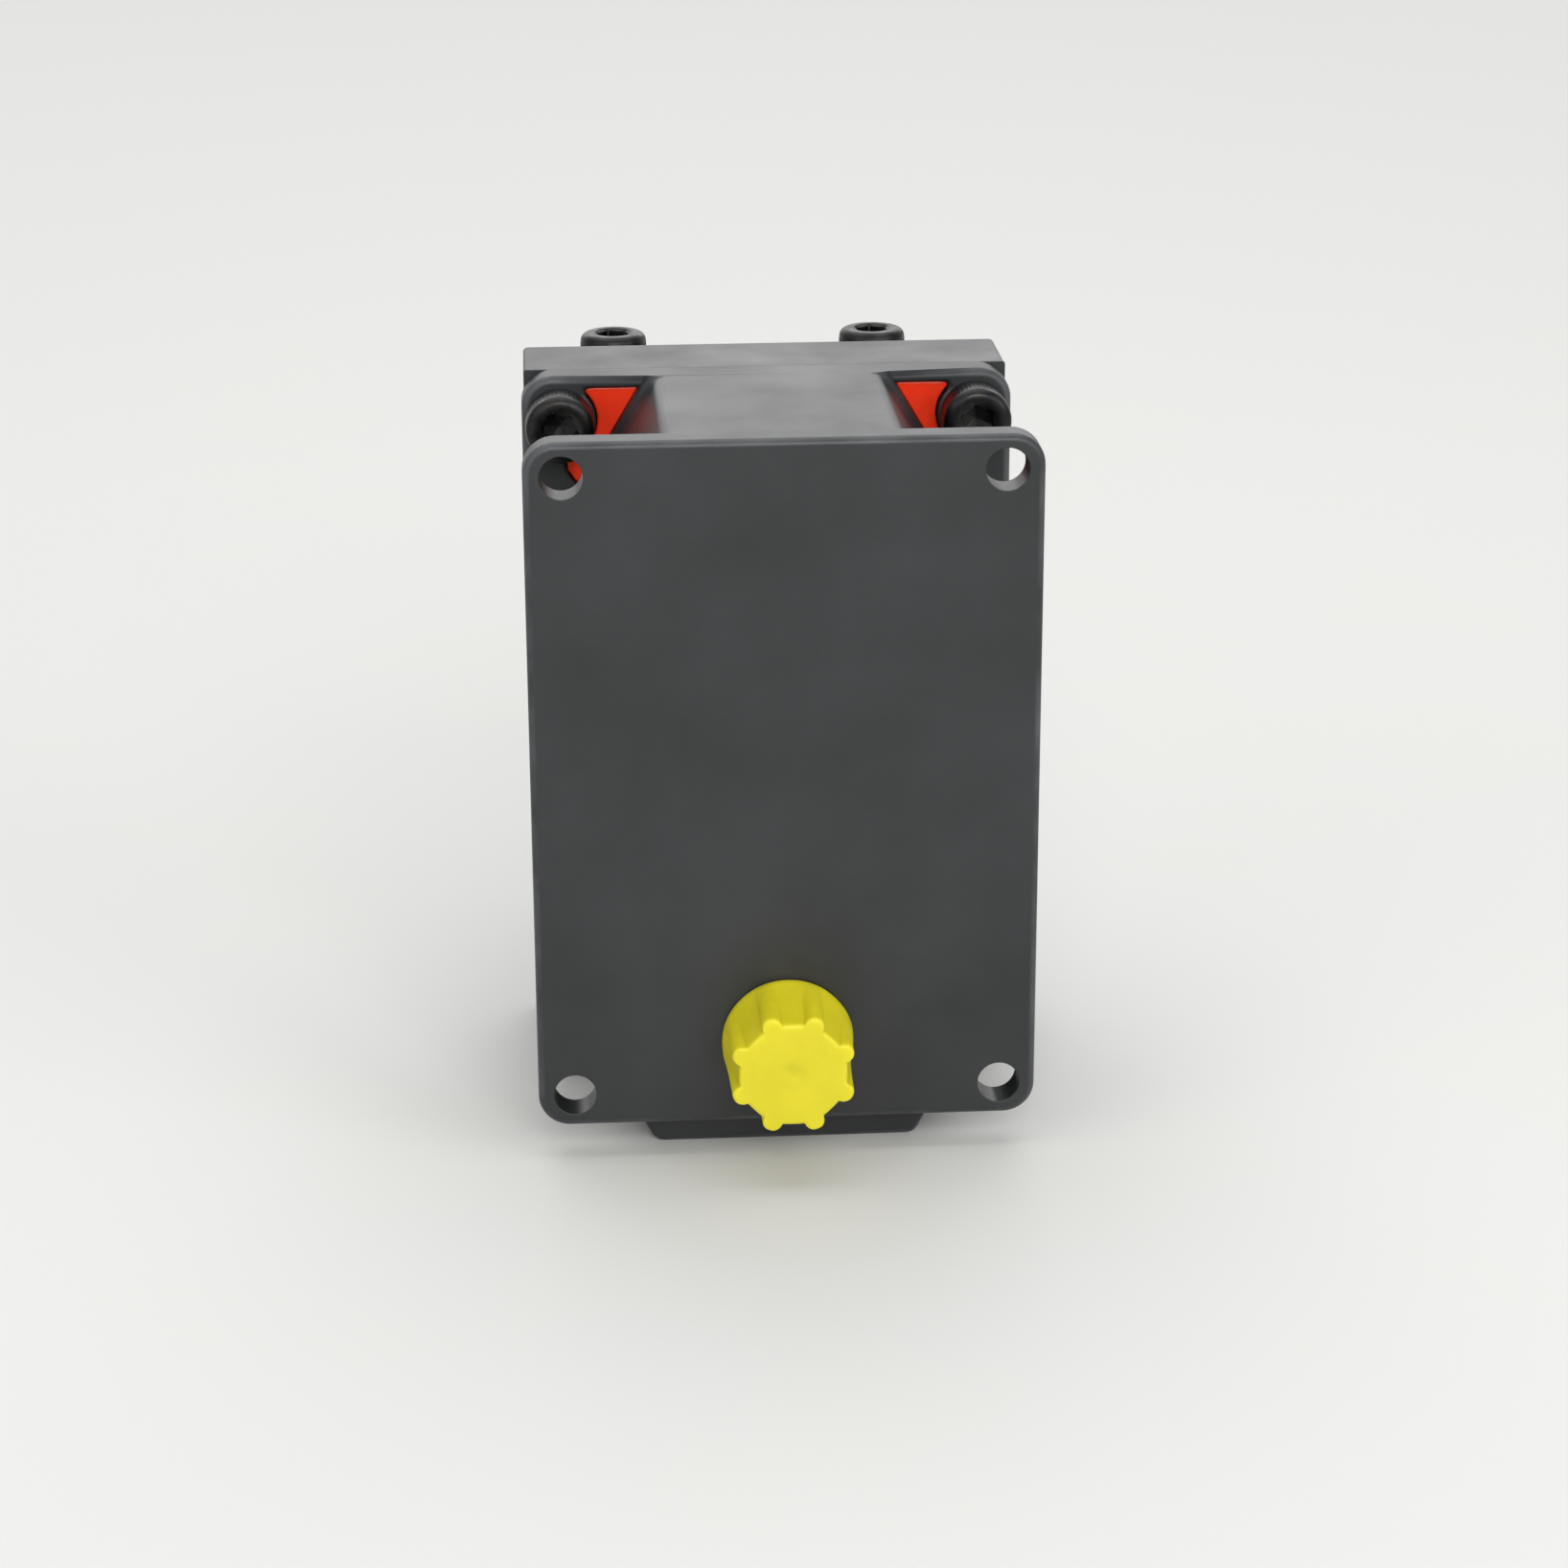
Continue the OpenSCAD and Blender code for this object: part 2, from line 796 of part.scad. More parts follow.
module cover_gasket() {
    color(rubber)
        difference() {
            plane(block_end, block_end + gasket_t)
                translate([0, cover_z])
                    difference() {
                        rounded(cover_w, cover_h, cover_r);
                        translate([0, spindle_z - cover_z])
                            square([opening_w, opening_h], center = true);
                    }
            translate([0, 0, cover_z])
                four(cover_screw_dx, cover_screw_dz)
                    rod(cover_screw_r + gap, block_end - e, block_end + gasket_t + cover_t + e);
        }
}

module cover_screws() {
    color(steel)
        translate([0, block_end + gasket_t + cover_t, cover_z])
            four(cover_screw_dx, cover_screw_dz)
                pan_screw(cover_screw_r, cover_screw_head_r, cover_screw_head_h, cover_screw_len);
}

module earth_washer() {
    color(steel)
        difference() {
            rod(earth_washer_r, block_end, block_end + earth_washer_t, x = earth_x, z = earth_z);
            rod(small_r + gap, block_end - e, block_end + earth_washer_t + e, x = earth_x, z = earth_z);
        }
}

module earth_screw() {
    color(bronze)
        translate([earth_x, block_end + earth_washer_t, earth_z])
            pan_screw(small_r, earth_head_r, earth_head_h, earth_len);
}

// ---- screws, pins and bushes of the case ----------------------------------

module clamp_screws() {
    color(black_steel)
        at_clamps()
            translate([0, flange_y, 0])
                cap_screw(clamp_len);
}

module dowel_pins() {
    color(steel)
        for (s = [-1, 1])
            rod(dowel_r, block_y - dowel_len / 2, block_y + dowel_len / 2, x = s * dowel_x, z = flange_mid);
}

module front_bush() {
    color(bronze)
        difference() {
            union() {
                rod(bush_r - snug, bush_y, chamber_y, z = spindle_z);
                rod(bush_flange_r, chamber_y, chamber_y + bush_flange_t, z = spindle_z);
            }
            rod(spindle_r + run, bush_y - e, chamber_y + bush_flange_t + e, z = spindle_z);
        }
}

module shaft_seal() {
    color(rubber)
        difference() {
            rod(seal_r, seal_y, seal_y + seal_w, z = spindle_z);
            rod(spindle_r + run, seal_y - e, seal_y + seal_w + e, z = spindle_z);
            // groove in the ring's front, which leaves a lip on the shaft
            difference() {
                rod(spindle_r + 2 * lip_t, seal_y - e, seal_y + seal_groove, z = spindle_z);
                rod(spindle_r + lip_t, seal_y - 2 * e, seal_y + seal_groove + e, z = spindle_z);
            }
        }
}

module thrust_washer() {
    color(bronze)
        difference() {
            rod(bush_flange_r, chamber_y + bush_flange_t, collar_y - run, z = spindle_z);
            rod(spindle_r + gap, chamber_y + bush_flange_t - e, collar_y + e, z = spindle_z);
        }
}

module rear_bush() {
    color(bronze)
        difference() {
            union() {
                rod(bush_r - snug, block_y, rear_boss_end, z = spindle_z);
                rod(bush_flange_r, block_y - rear_bush_flange_t, block_y, z = spindle_z);
            }
            rod(spindle_r + run, block_y - rear_bush_flange_t - e, rear_boss_end + e, z = spindle_z);
        }
}

module stop_pin() {
    color(steel)
        rod(stop_pin_r, chamber_y - stop_pin_hold, clip_y + stop_pin_out, z = spindle_z - stop_r);
}

module spring_plug() {
    color(bronze)
        translate([0, guide_y, guide_top])
            difference() {
                union() {
                    translate([0, 0, -plug_in])
                        cylinder(r = plug_r, h = plug_in);
                    cylinder(r = plug_head_r, h = plug_head_t);
                }
                translate([0, 0, plug_head_t])
                    cube([3 * plug_head_r, plug_slot_w, 2 * plug_slot_deep], center = true);
            }
}

// ---- turning parts --------------------------------------------------------

module knob() {
    lean = atan((knob_d - knob_face_d) / 2 / knob_len);
    core_r = (knob_face_d / 2 - rib_proud) / cos(180 / knob_ribs);
    color(yellow)
        translate([0, knob_back, spindle_z])
            difference() {
                union() {
                    rotate([90, 0, 0]) {
                        cylinder(r1 = knob_d / 2, r2 = knob_d / 2 - skirt_draft, h = skirt_l);
                        rotate([0, 0, 180 / knob_ribs])
                            cylinder(r1 = core_r + core_draft, r2 = core_r, h = knob_len, $fn = knob_ribs);
                        intersection() {
                            for (i = [0 : knob_ribs - 1])
                                rotate([0, 0, (i + 0.5) * 360 / knob_ribs])
                                    translate([knob_d / 2 - rib_r, 0, 0])
                                        rotate([0, -lean, 0])
                                            translate([0, 0, -rib_r])
                                                cylinder(r = rib_r, h = knob_len + 2 * rib_r);
                            cylinder(r = knob_d / 2, h = knob_len);
                        }
                    }
                }
                // shallow dimple in the face
                translate([0, -knob_len - dimple_r + dimple_deep, 0])
                    sphere(r = dimple_r);
                rotate([90, 0, 0])
                    translate([0, 0, -e])
                        cylinder(r = insert_hex / 2 / cos(30), h = insert_end + e, $fn = 6);
            }
}

module knob_insert() {
    color(bronze)
        translate([0, knob_back, spindle_z])
            rotate([90, 0, 0])
                difference() {
                    translate([0, 0, insert_back])
                        cylinder(r = insert_hex / 2 / cos(30), h = insert_len, $fn = 6);
                    cube([square, square, 2 * (insert_end + e)], center = true);
                }
}

module spindle() {
    color(steel)
        translate([0, 0, spindle_z])
            difference() {
                union() {
                    plane(-spindle_front, e)
                        square(square, center = true);
                    rod(spindle_r, 0, wheel_y);
                    rod(collar_r, collar_y, wheel_y);
                    plane(wheel_y, clip_y)
                        intersection() {
                            circle(spindle_r);
                            square([2 * spindle_d, flat_w], center = true);
                        }
                    rod(spindle_r - clip_groove, clip_y - e, clip_y + clip_t + e);
                    rod(spindle_r, clip_y + clip_t, rotor_front);
                    plane(rotor_front - e, rotor_end - spindle_short)
                        square(square, center = true);
                }
                rod(bar_screw_r + gap, rotor_end - rotor_screw_deep, rotor_end);
            }
}

module index_wheel() {
    start = 270 - stop_half;
    color(steel)
        translate([0, 0, spindle_z])
            difference() {
                rod(wheel_r, wheel_y, clip_y);
                plane(wheel_y - e, clip_y + e)
                    intersection() {
                        circle(spindle_r + run);
                        square([2 * spindle_d, flat_w], center = true);
                    }
                // cut-away that lets the wheel turn past the stop pin
                translate([0, clip_y + e, 0])
                    rotate([90, 0, 0])
                        rotate([0, 0, start])
                            rotate_extrude(angle = throw + 2 * stop_half)
                                translate([wheel_hub_r, 0])
                                    square([wheel_r, wheel_t + 2 * e]);
                for (a = [0, throw])
                    rotate([0, -a, 0])
                        rod(notch_r, wheel_y - e, clip_y + e, z = wheel_r + notch_r - notch_deep);
            }
}

module circlip() {
    color(steel)
        translate([0, clip_y + clip_t, spindle_z])
            rotate([90, 0, 0])
                rotate([0, 0, 110])
                    rotate_extrude(angle = 320)
                        translate([spindle_r - clip_groove + gap, 0])
                            square([clip_w, clip_t]);
}

module rotor() {
    color(black)
        translate([0, 0, spindle_z])
            difference() {
                union() {
                    rod(rotor_r, rotor_front, leaf_a);
                    rod(rotor_r, leaf_a + leaf_t, leaf_b);
                    rod(rotor_r, leaf_b + leaf_t, rotor_end);
                    plane(rotor_front, rotor_end)
                        square(rotor_square, center = true);
                }
                plane(rotor_front - e, rotor_end + e)
                    square(square, center = true);
            }
}

module rotor_screw() {
    color(steel)
        translate([0, rotor_end, spindle_z])
            pan_screw(bar_screw_r, rotor_screw_head_r, rotor_screw_head_h, rotor_screw_len);
}

module contact_leaves() {
    color(copper)
        translate([0, 0, spindle_z])
            for (y = [leaf_a, leaf_b])
                plane(y, y + leaf_t)
                    difference() {
                        union() {
                            circle(rotor_r + leaf_root);
                            intersection() {
                                circle(leaf_reach);
                                square([3 * leaf_reach, leaf_w], center = true);
                            }
                        }
                        square(rotor_square, center = true);
                    }
}

// ---- detent ---------------------------------------------------------------

module detent_plunger() {
    color(steel)
        translate([0, guide_y, 0]) {
            translate([0, 0, nose_tip + nose_r])
                sphere(r = nose_r);
            translate([0, 0, nose_tip + nose_r])
                cylinder(r = nose_r, h = guide_seat - nose_tip - nose_r + e);
            translate([0, 0, guide_seat])
                cylinder(r = plunger_collar_r, h = plunger_collar_t);
        }
}

// coil with closed, ground ends: steps per turn, sides of the wire
module detent_spring() {
    per_turn = 14;
    sides = 8;
    close_pitch = 2 * spring_wire + 0.1;
    low = spring_low + spring_wire * 0.6;
    high = spring_high - spring_wire * 0.6;
    steps = per_turn * (spring_turns + 2);
    free = (high - low - 2 * close_pitch) / spring_turns;
    pts = [
        for (i = [0 : steps])
            let (
                t = i / per_turn,
                rise = t < 1 ? t * close_pitch
                    : t > spring_turns + 1 ? close_pitch * (t - spring_turns) + free * spring_turns
                    : close_pitch + (t - 1) * free
            )
            for (j = [0 : sides - 1])
                let (
                    a = 360 * j / sides,
                    r = spring_r + spring_wire * cos(a)
                )
                [
                    r * cos(360 * t),
                    r * sin(360 * t),
                    max(spring_low, min(spring_high, low + rise + spring_wire * sin(a)))
                ]
    ];
    tube = [
        for (i = [0 : steps - 1], j = [0 : sides - 1])
            let (
                a = i * sides + j,
                b = i * sides + (j + 1) % sides
            )
            each [[a, b + sides, b], [a, a + sides, b + sides]]
    ];
    caps = [
        [for (j = [0 : sides - 1]) j],
        [for (j = [sides - 1 : -1 : 0]) steps * sides + j]
    ];
    color(steel)
        translate([0, guide_y, 0])
            polyhedron(points = pts, faces = concat(tube, caps), convexity = 10);
}

housing();
contact_block();
contact_carrier();
clamp_screws();
dowel_pins();
front_bush();
shaft_seal();
thrust_washer();
rear_bush();
stop_pin();
spring_plug();
line_bar();
load_bar();
bar_screws();
arc_barrier();
terminal_base();
base_screws();
terminal_nuts();
flat_washers();
spring_washers();
terminal_screws();
rear_cover();
cover_gasket();
cover_screws();
earth_screw();
earth_washer();
knob();
knob_insert();
spindle();
index_wheel();
circlip();
rotor();
rotor_screw();
contact_leaves();
detent_plunger();
detent_spring();
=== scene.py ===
"""Visual model of a cast rotary isolator switch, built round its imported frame.

Lengths inside the classes are millimetres in the part's own frame: +Z up, the plate's
face towards -Y, the origin in the middle of its four fixing holes. Meshes are metres.
"""

from __future__ import annotations

import json
import logging
import math
from dataclasses import dataclass
from enum import Enum
from typing import Any, Callable, Iterable, Iterator, Sequence

import bmesh
import bpy
from bmesh.types import BMEdge, BMesh, BMVert
from bpy.types import ID, Material, Mesh, MeshPolygon, Node, NodeSocket, NodeTree, Object
from mathutils import Matrix, Vector

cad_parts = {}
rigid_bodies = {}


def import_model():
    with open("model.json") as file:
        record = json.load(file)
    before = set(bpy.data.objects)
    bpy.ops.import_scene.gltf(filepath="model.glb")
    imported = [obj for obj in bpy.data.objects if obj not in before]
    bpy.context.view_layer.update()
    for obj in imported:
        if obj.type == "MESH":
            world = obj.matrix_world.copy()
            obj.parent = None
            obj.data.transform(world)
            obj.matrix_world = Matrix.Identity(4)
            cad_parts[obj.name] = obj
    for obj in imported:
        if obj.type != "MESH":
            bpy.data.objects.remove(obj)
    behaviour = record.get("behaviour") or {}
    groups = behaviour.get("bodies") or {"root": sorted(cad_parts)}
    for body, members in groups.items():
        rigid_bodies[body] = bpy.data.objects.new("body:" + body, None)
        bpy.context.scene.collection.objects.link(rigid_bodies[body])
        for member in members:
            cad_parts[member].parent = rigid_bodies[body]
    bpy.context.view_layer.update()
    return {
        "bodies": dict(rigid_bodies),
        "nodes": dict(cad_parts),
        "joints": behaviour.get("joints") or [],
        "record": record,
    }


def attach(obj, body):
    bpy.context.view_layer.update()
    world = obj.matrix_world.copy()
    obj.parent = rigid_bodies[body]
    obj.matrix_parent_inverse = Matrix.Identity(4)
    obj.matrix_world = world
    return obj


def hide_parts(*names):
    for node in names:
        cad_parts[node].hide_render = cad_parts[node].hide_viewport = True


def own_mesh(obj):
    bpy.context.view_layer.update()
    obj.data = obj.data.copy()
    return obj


log = logging.getLogger("switch")

MM = 0.001
SAME_POINT = 1e-7
STRENGTH = "__mod_weightednormals_faceweight"
# Point attribute that changes a finish's colour: rounding crests lightened for wear and a painted
# highlight, and the knob's darker dish.
TONE_MARK = "worn"
CLOSE = math.cos(math.radians(20))
Pair = tuple[float, float]
Spot = tuple[float, float, float]
Color = tuple[float, float, float]
Outline = Callable[[float], float]

# Sizes that several pieces share, in millimetres.
TOP, LOW = 67.0, -74.0
FLANGE_FRONT, FLANGE_BACK = 52.0, 58.6
BLOCK_BACK = 79.3
COVER_BACK = 82.3
FIXINGS = [(x, z) for z in (60.5, -60.5) for x in (40.5, -40.5)]
CLAMPS = [(x, z) for z in (58.2, -65.2) for x in (40.2, -40.2)]
COVER_CORNERS = [(x, z) for x in (26.5, -26.5) for z in (-27.8, -68.8)]
TERMINALS = [(x, 90.0) for x in (-28.8, 23.6)]
BAR_TOP = 55.6
FLAT_THICK = 1.6
SPRING_THICK = 2.0
EARTH_X, EARTH_Z, EARTH_THICK = 36.0, -20.0, 1.0


# ---- shaping -----------------------------------------------------------------


class Axis(Enum):
    """Direction of the part's frame, as the index of its coordinate."""

    X = 0
    Y = 1
    Z = 2


class Facing(Enum):
    """Way that a piece built along +Z points in the part, as its turn about X in degrees."""

    UP = 0
    FRONT = 90
    REAR = -90

    def at(self, x: float, y: float, z: float, turn: float = 0.0) -> Matrix:
        """Matrix that brings a piece to a point.

        Args:
            x, y, z: the point, in millimetres.
            turn: turn about the piece's own axis, in degrees.

        Returns:
            The matrix for a mesh in metres.
        """
        return (
            Matrix.Translation(Vector((x, y, z)) * MM)
            @ Matrix.Rotation(math.radians(self.value), 4, "X")
            @ Matrix.Rotation(math.radians(turn), 4, "Z")
        )


def round_line(radius: float) -> Outline:
    """Circle."""
    return lambda angle: radius


def polygon_line(sides: int, flat: float) -> Outline:
    """Regular polygon whose flats lie at a distance from the middle.

    Args:
        sides: number of flats.
        flat: distance from the middle to a flat.

    Returns:
        The outline, with a flat at angle 0.
    """
    half = math.pi / sides
    return lambda angle: flat / math.cos((angle + half) % (2 * half) - half)


def knurled_line(radius: float, depth: float, teeth: int) -> Outline:
    """Circle with fine teeth cut into it.

    Args:
        radius: radius over the teeth.
        depth: how far the teeth are cut.
        teeth: their number.

    Returns:
        The outline.
    """
    return lambda angle: radius - depth * (0.5 - 0.5 * math.cos(teeth * angle))


def cross_line(reach: float, half_width: float) -> Outline:
    """Cross of four equal arms, as a driver's recess has.

    Args:
        reach: length of an arm from the middle.
        half_width: half the width of an arm.

    Returns:
        The outline, with an arm at angle 0.
    """

    def line(angle: float) -> float:
        """Reach of the cross at an angle."""
        away = (angle + math.pi / 4) % (math.pi / 2) - math.pi / 4
        along = reach / math.cos(away)
        beside = half_width / max(abs(math.sin(away)), 1e-6)
        return max(min(along, beside), half_width)

    return line


def quarter_round(steps: int = 5) -> Iterator[Pair]:
    """Quarter of a circle of radius 1, from an upright side over to a flat top.

    Args:
        steps: number of points.

    Yields:
        (rise, inset) of each point.
    """
    for step in range(1, steps + 1):
        angle = math.radians(90 * step / steps)
        yield math.sin(angle), 1 - math.cos(angle)


class Shell:
    """Closed skin that grows ring by ring along +Z."""

    def __init__(self, segments: int) -> None:
        """Starts an empty skin.

        Args:
            segments: number of points in each ring.
        """
        self.mesh: BMesh = bmesh.new()
        self.segments = segments
        self.rim: list[BMEdge] = []

    def ring(self, height: float, outline: Outline) -> Shell:
        """Grows the skin to a new ring.

        Args:
            height: the ring's height, in millimetres.
            outline: its radius at each angle, in millimetres.

        Returns:
            The shell, so that calls can be chained.
        """
        if self.rim:
            grown = bmesh.ops.extrude_edge_only(self.mesh, edges=self.rim)["geom"]
            verts = {g for g in grown if isinstance(g, BMVert)}
            self.rim = [g for g in grown if isinstance(g, BMEdge) and verts.issuperset(g.verts)]
        else:
            made = bmesh.ops.create_circle(self.mesh, segments=self.segments, radius=1.0)
            verts = set(made["verts"])
            self.rim = list(self.mesh.edges)
        for vert in verts:
            angle = math.atan2(vert.co.y, vert.co.x)
            reach = outline(angle) * MM
            vert.co = Vector((math.cos(angle) * reach, math.sin(angle) * reach, height * MM))
        return self

    def turned(self, profile: Iterable[Pair]) -> Shell:
        """Grows round rings through the points of a profile.

        Args:
            profile: (radius, height) of each ring, in millimetres.

        Returns:
            The shell.
        """
        for radius, height in profile:
            self.ring(height, round_line(radius))
        return self

    def closed(self) -> BMesh:
        """Merges rings that meet, fills the open ends and turns the faces outwards."""
        bmesh.ops.remove_doubles(self.mesh, verts=self.mesh.verts, dist=SAME_POINT)
        open_edges = [e for e in self.mesh.edges if e.is_boundary]
        if open_edges:
            bmesh.ops.holes_fill(self.mesh, edges=open_edges, sides=0)
        bmesh.ops.recalc_face_normals(self.mesh, faces=self.mesh.faces)
        return self.mesh


def blended(first: float, second: float, soft: float) -> float:
    """The larger of two values, with a soft change from one to the other."""
    overlap = max(soft - abs(first - second), 0.0) / soft
    return max(first, second) + overlap * overlap * soft / 4


def copies(source: BMesh, places: Iterable[Matrix]) -> BMesh:
    """One mesh that holds a shape at several places.

    Args:
        source: the shape, which is freed.
        places: where it goes.

    Returns:
        The mesh with every copy.
    """
    joined = bmesh.new()
    for place in places:
        one = bpy.data.meshes.new("copy")
        source.to_mesh(one)
        one.transform(place)
        joined.from_mesh(one)
        bpy.data.meshes.remove(one)
    source.free()
    return joined


def stand_section(mesh: BMesh, verts: Sequence[BMVert], spot: Vector) -> None:
    """Stands a section that lies flat upright beside the axis, ready to be spun round it.

    Args:
        mesh: the mesh that holds it.
        verts: its points.
        spot: where its middle goes, in millimetres.
    """
    upright = Matrix.Rotation(math.pi / 2, 3, "X")
    bmesh.ops.rotate(mesh, cent=(0, 0, 0), matrix=upright, verts=verts)
    bmesh.ops.translate(mesh, vec=spot * MM, verts=verts)


def round_edges(piece: Object, width: float, steps: int) -> None:
    """Rounds a piece's weighted edges, and applies that to its mesh.

    Args:
        piece: the piece.
        width: rounding at full weight, in millimetres.
        steps: faces across each rounding.
    """
    bevel = piece.modifiers.new("roundings", "BEVEL")
    bevel.limit_method = "WEIGHT"
    bevel.width = width * MM
    bevel.segments = steps
    bevel.use_clamp_overlap = False
    bevel.loop_slide = False
    bevel.face_strength_mode = "FSTR_ALL"
    graph = bpy.context.evaluated_depsgraph_get()
    data = bpy.data.meshes.new_from_object(piece.evaluated_get(graph))
    piece.modifiers.clear()
    piece.data = data


def flat_faces(data: Mesh) -> list[MeshPolygon]:
    """The faces of a rounded mesh that lie between its roundings."""
    strengths = data.attributes[STRENGTH].data
    return [face for face, strength in zip(data.polygons, strengths) if strength.value > 0]


def mark_wear_and_highlight_crests(data: Mesh) -> None:
    """Marks the crests of the outer roundings, where the finish is lightened for wear and a painted
    highlight.
    """
    flats = {vert for face in flat_faces(data) for vert in face.vertices}
    mesh = bmesh.new()
    mesh.from_mesh(data)
    crests = [
        vert.index not in flats and all(edge.is_convex for edge in vert.link_edges)
        for vert in mesh.verts
    ]
    mesh.free()
    worn = data.attributes.new(TONE_MARK, "FLOAT", "POINT")
    for item, crest in zip(worn.data, crests):
        item.value = 1.0 if crest else 0.0


def keep_flats(data: Mesh) -> None:
    """Lets the faces between the roundings shade flat right up to their rims."""
    flats: dict[int, list[Vector]] = {}
    for face in flat_faces(data):
        for vert in face.vertices:
            flats.setdefault(vert, []).append(face.normal.copy())
    normals = [corner.vector.copy() for corner in data.corner_normals]
    for face in data.polygons:
        for corner, vert in zip(face.loop_indices, face.vertices):
            for flat in flats.get(vert, ()):
                if flat.dot(normals[corner]) > CLOSE:
                    normals[corner] = flat
    data.normals_split_custom_set(normals)


def place_object(name: str, data: ID) -> Object:
    """Puts a new object that shows the data into the scene."""
    placed = bpy.data.objects.new(name, data)
    bpy.context.scene.collection.objects.link(placed)
    return placed


def dress(data: Mesh, slot: str) -> None:
    """Gives a mesh the finish of a slot, and no other."""
    data.materials.clear()
    data.materials.append(FINISHES[slot].material())


def make_piece(
    name: str,
    mesh: BMesh,
    body: str,
    nodes: Sequence[str],
    slot: str,
    crease: float = 32.0,
    roundings: tuple[float, int] | None = None,
) -> Object:
    """Makes a finished piece from a mesh and says what it stands for.

    Args:
        name: the piece's name.
        mesh: its shape, which is freed.
        body: the moving body that it rides on.
        nodes: the nodes that it replaces.
        slot: the material slot that it takes its finish from.
        crease: angle in degrees above which an edge stays sharp.
        roundings: widest rounding in millimetres and its steps, for weighted edges.

    Returns:
        The piece's object.
    """
    data = bpy.data.meshes.new(name)
    mesh.to_mesh(data)
    mesh.free()
    piece = place_object(name, data)
    if roundings:
        round_edges(piece, *roundings)
    piece.data.shade_smooth()
    piece.data.set_sharp_from_angle(angle=math.radians(crease))
    if roundings:
        keep_flats(piece.data)
        mark_wear_and_highlight_crests(piece.data)
    else:
        piece.modifiers.new("normals", "WEIGHTED_NORMAL").keep_sharp = True
    dress(piece.data, slot)
    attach(piece, body)
    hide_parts(*nodes)
    log.info("%s: %d faces, rides on %s", name, len(piece.data.polygons), body)
    return piece


# ---- finishes ------------------------------------------------------------------


class EdgeFrom(Enum):
    """How a finish finds the points whose colour it changes: edges lightened for wear and a painted
    highlight, or marked points such as the knob's dish.
    """

    ROUNDINGS = "points marked as worn"
    SHAPE = "sharp turns of a fine mesh"


def combined(tree: NodeTree, operation: str, first: NodeSocket, second: NodeSocket) -> NodeSocket:
    """Result of a maths node fed with two values.

    Args:
        tree: the node tree that gets the node.
        operation: what the node does with the values.
        first, second: the values.

    Returns:
        The result.
    """
    node = tree.nodes.new("ShaderNodeMath")
    node.operation = operation
    tree.links.new(first, node.inputs[0])
    tree.links.new(second, node.inputs[1])
    return node.outputs[0]


def mixed(tree: NodeTree, share: NodeSocket, first: NodeSocket, second: NodeSocket) -> NodeSocket:
    """Two shaders mixed: the first where the share is 0, the second where it is 1."""
    mix = tree.nodes.new("ShaderNodeMixShader")
    for socket, value in zip(mix.inputs, (share, first, second)):
        tree.links.new(value, socket)
    return mix.outputs[0]


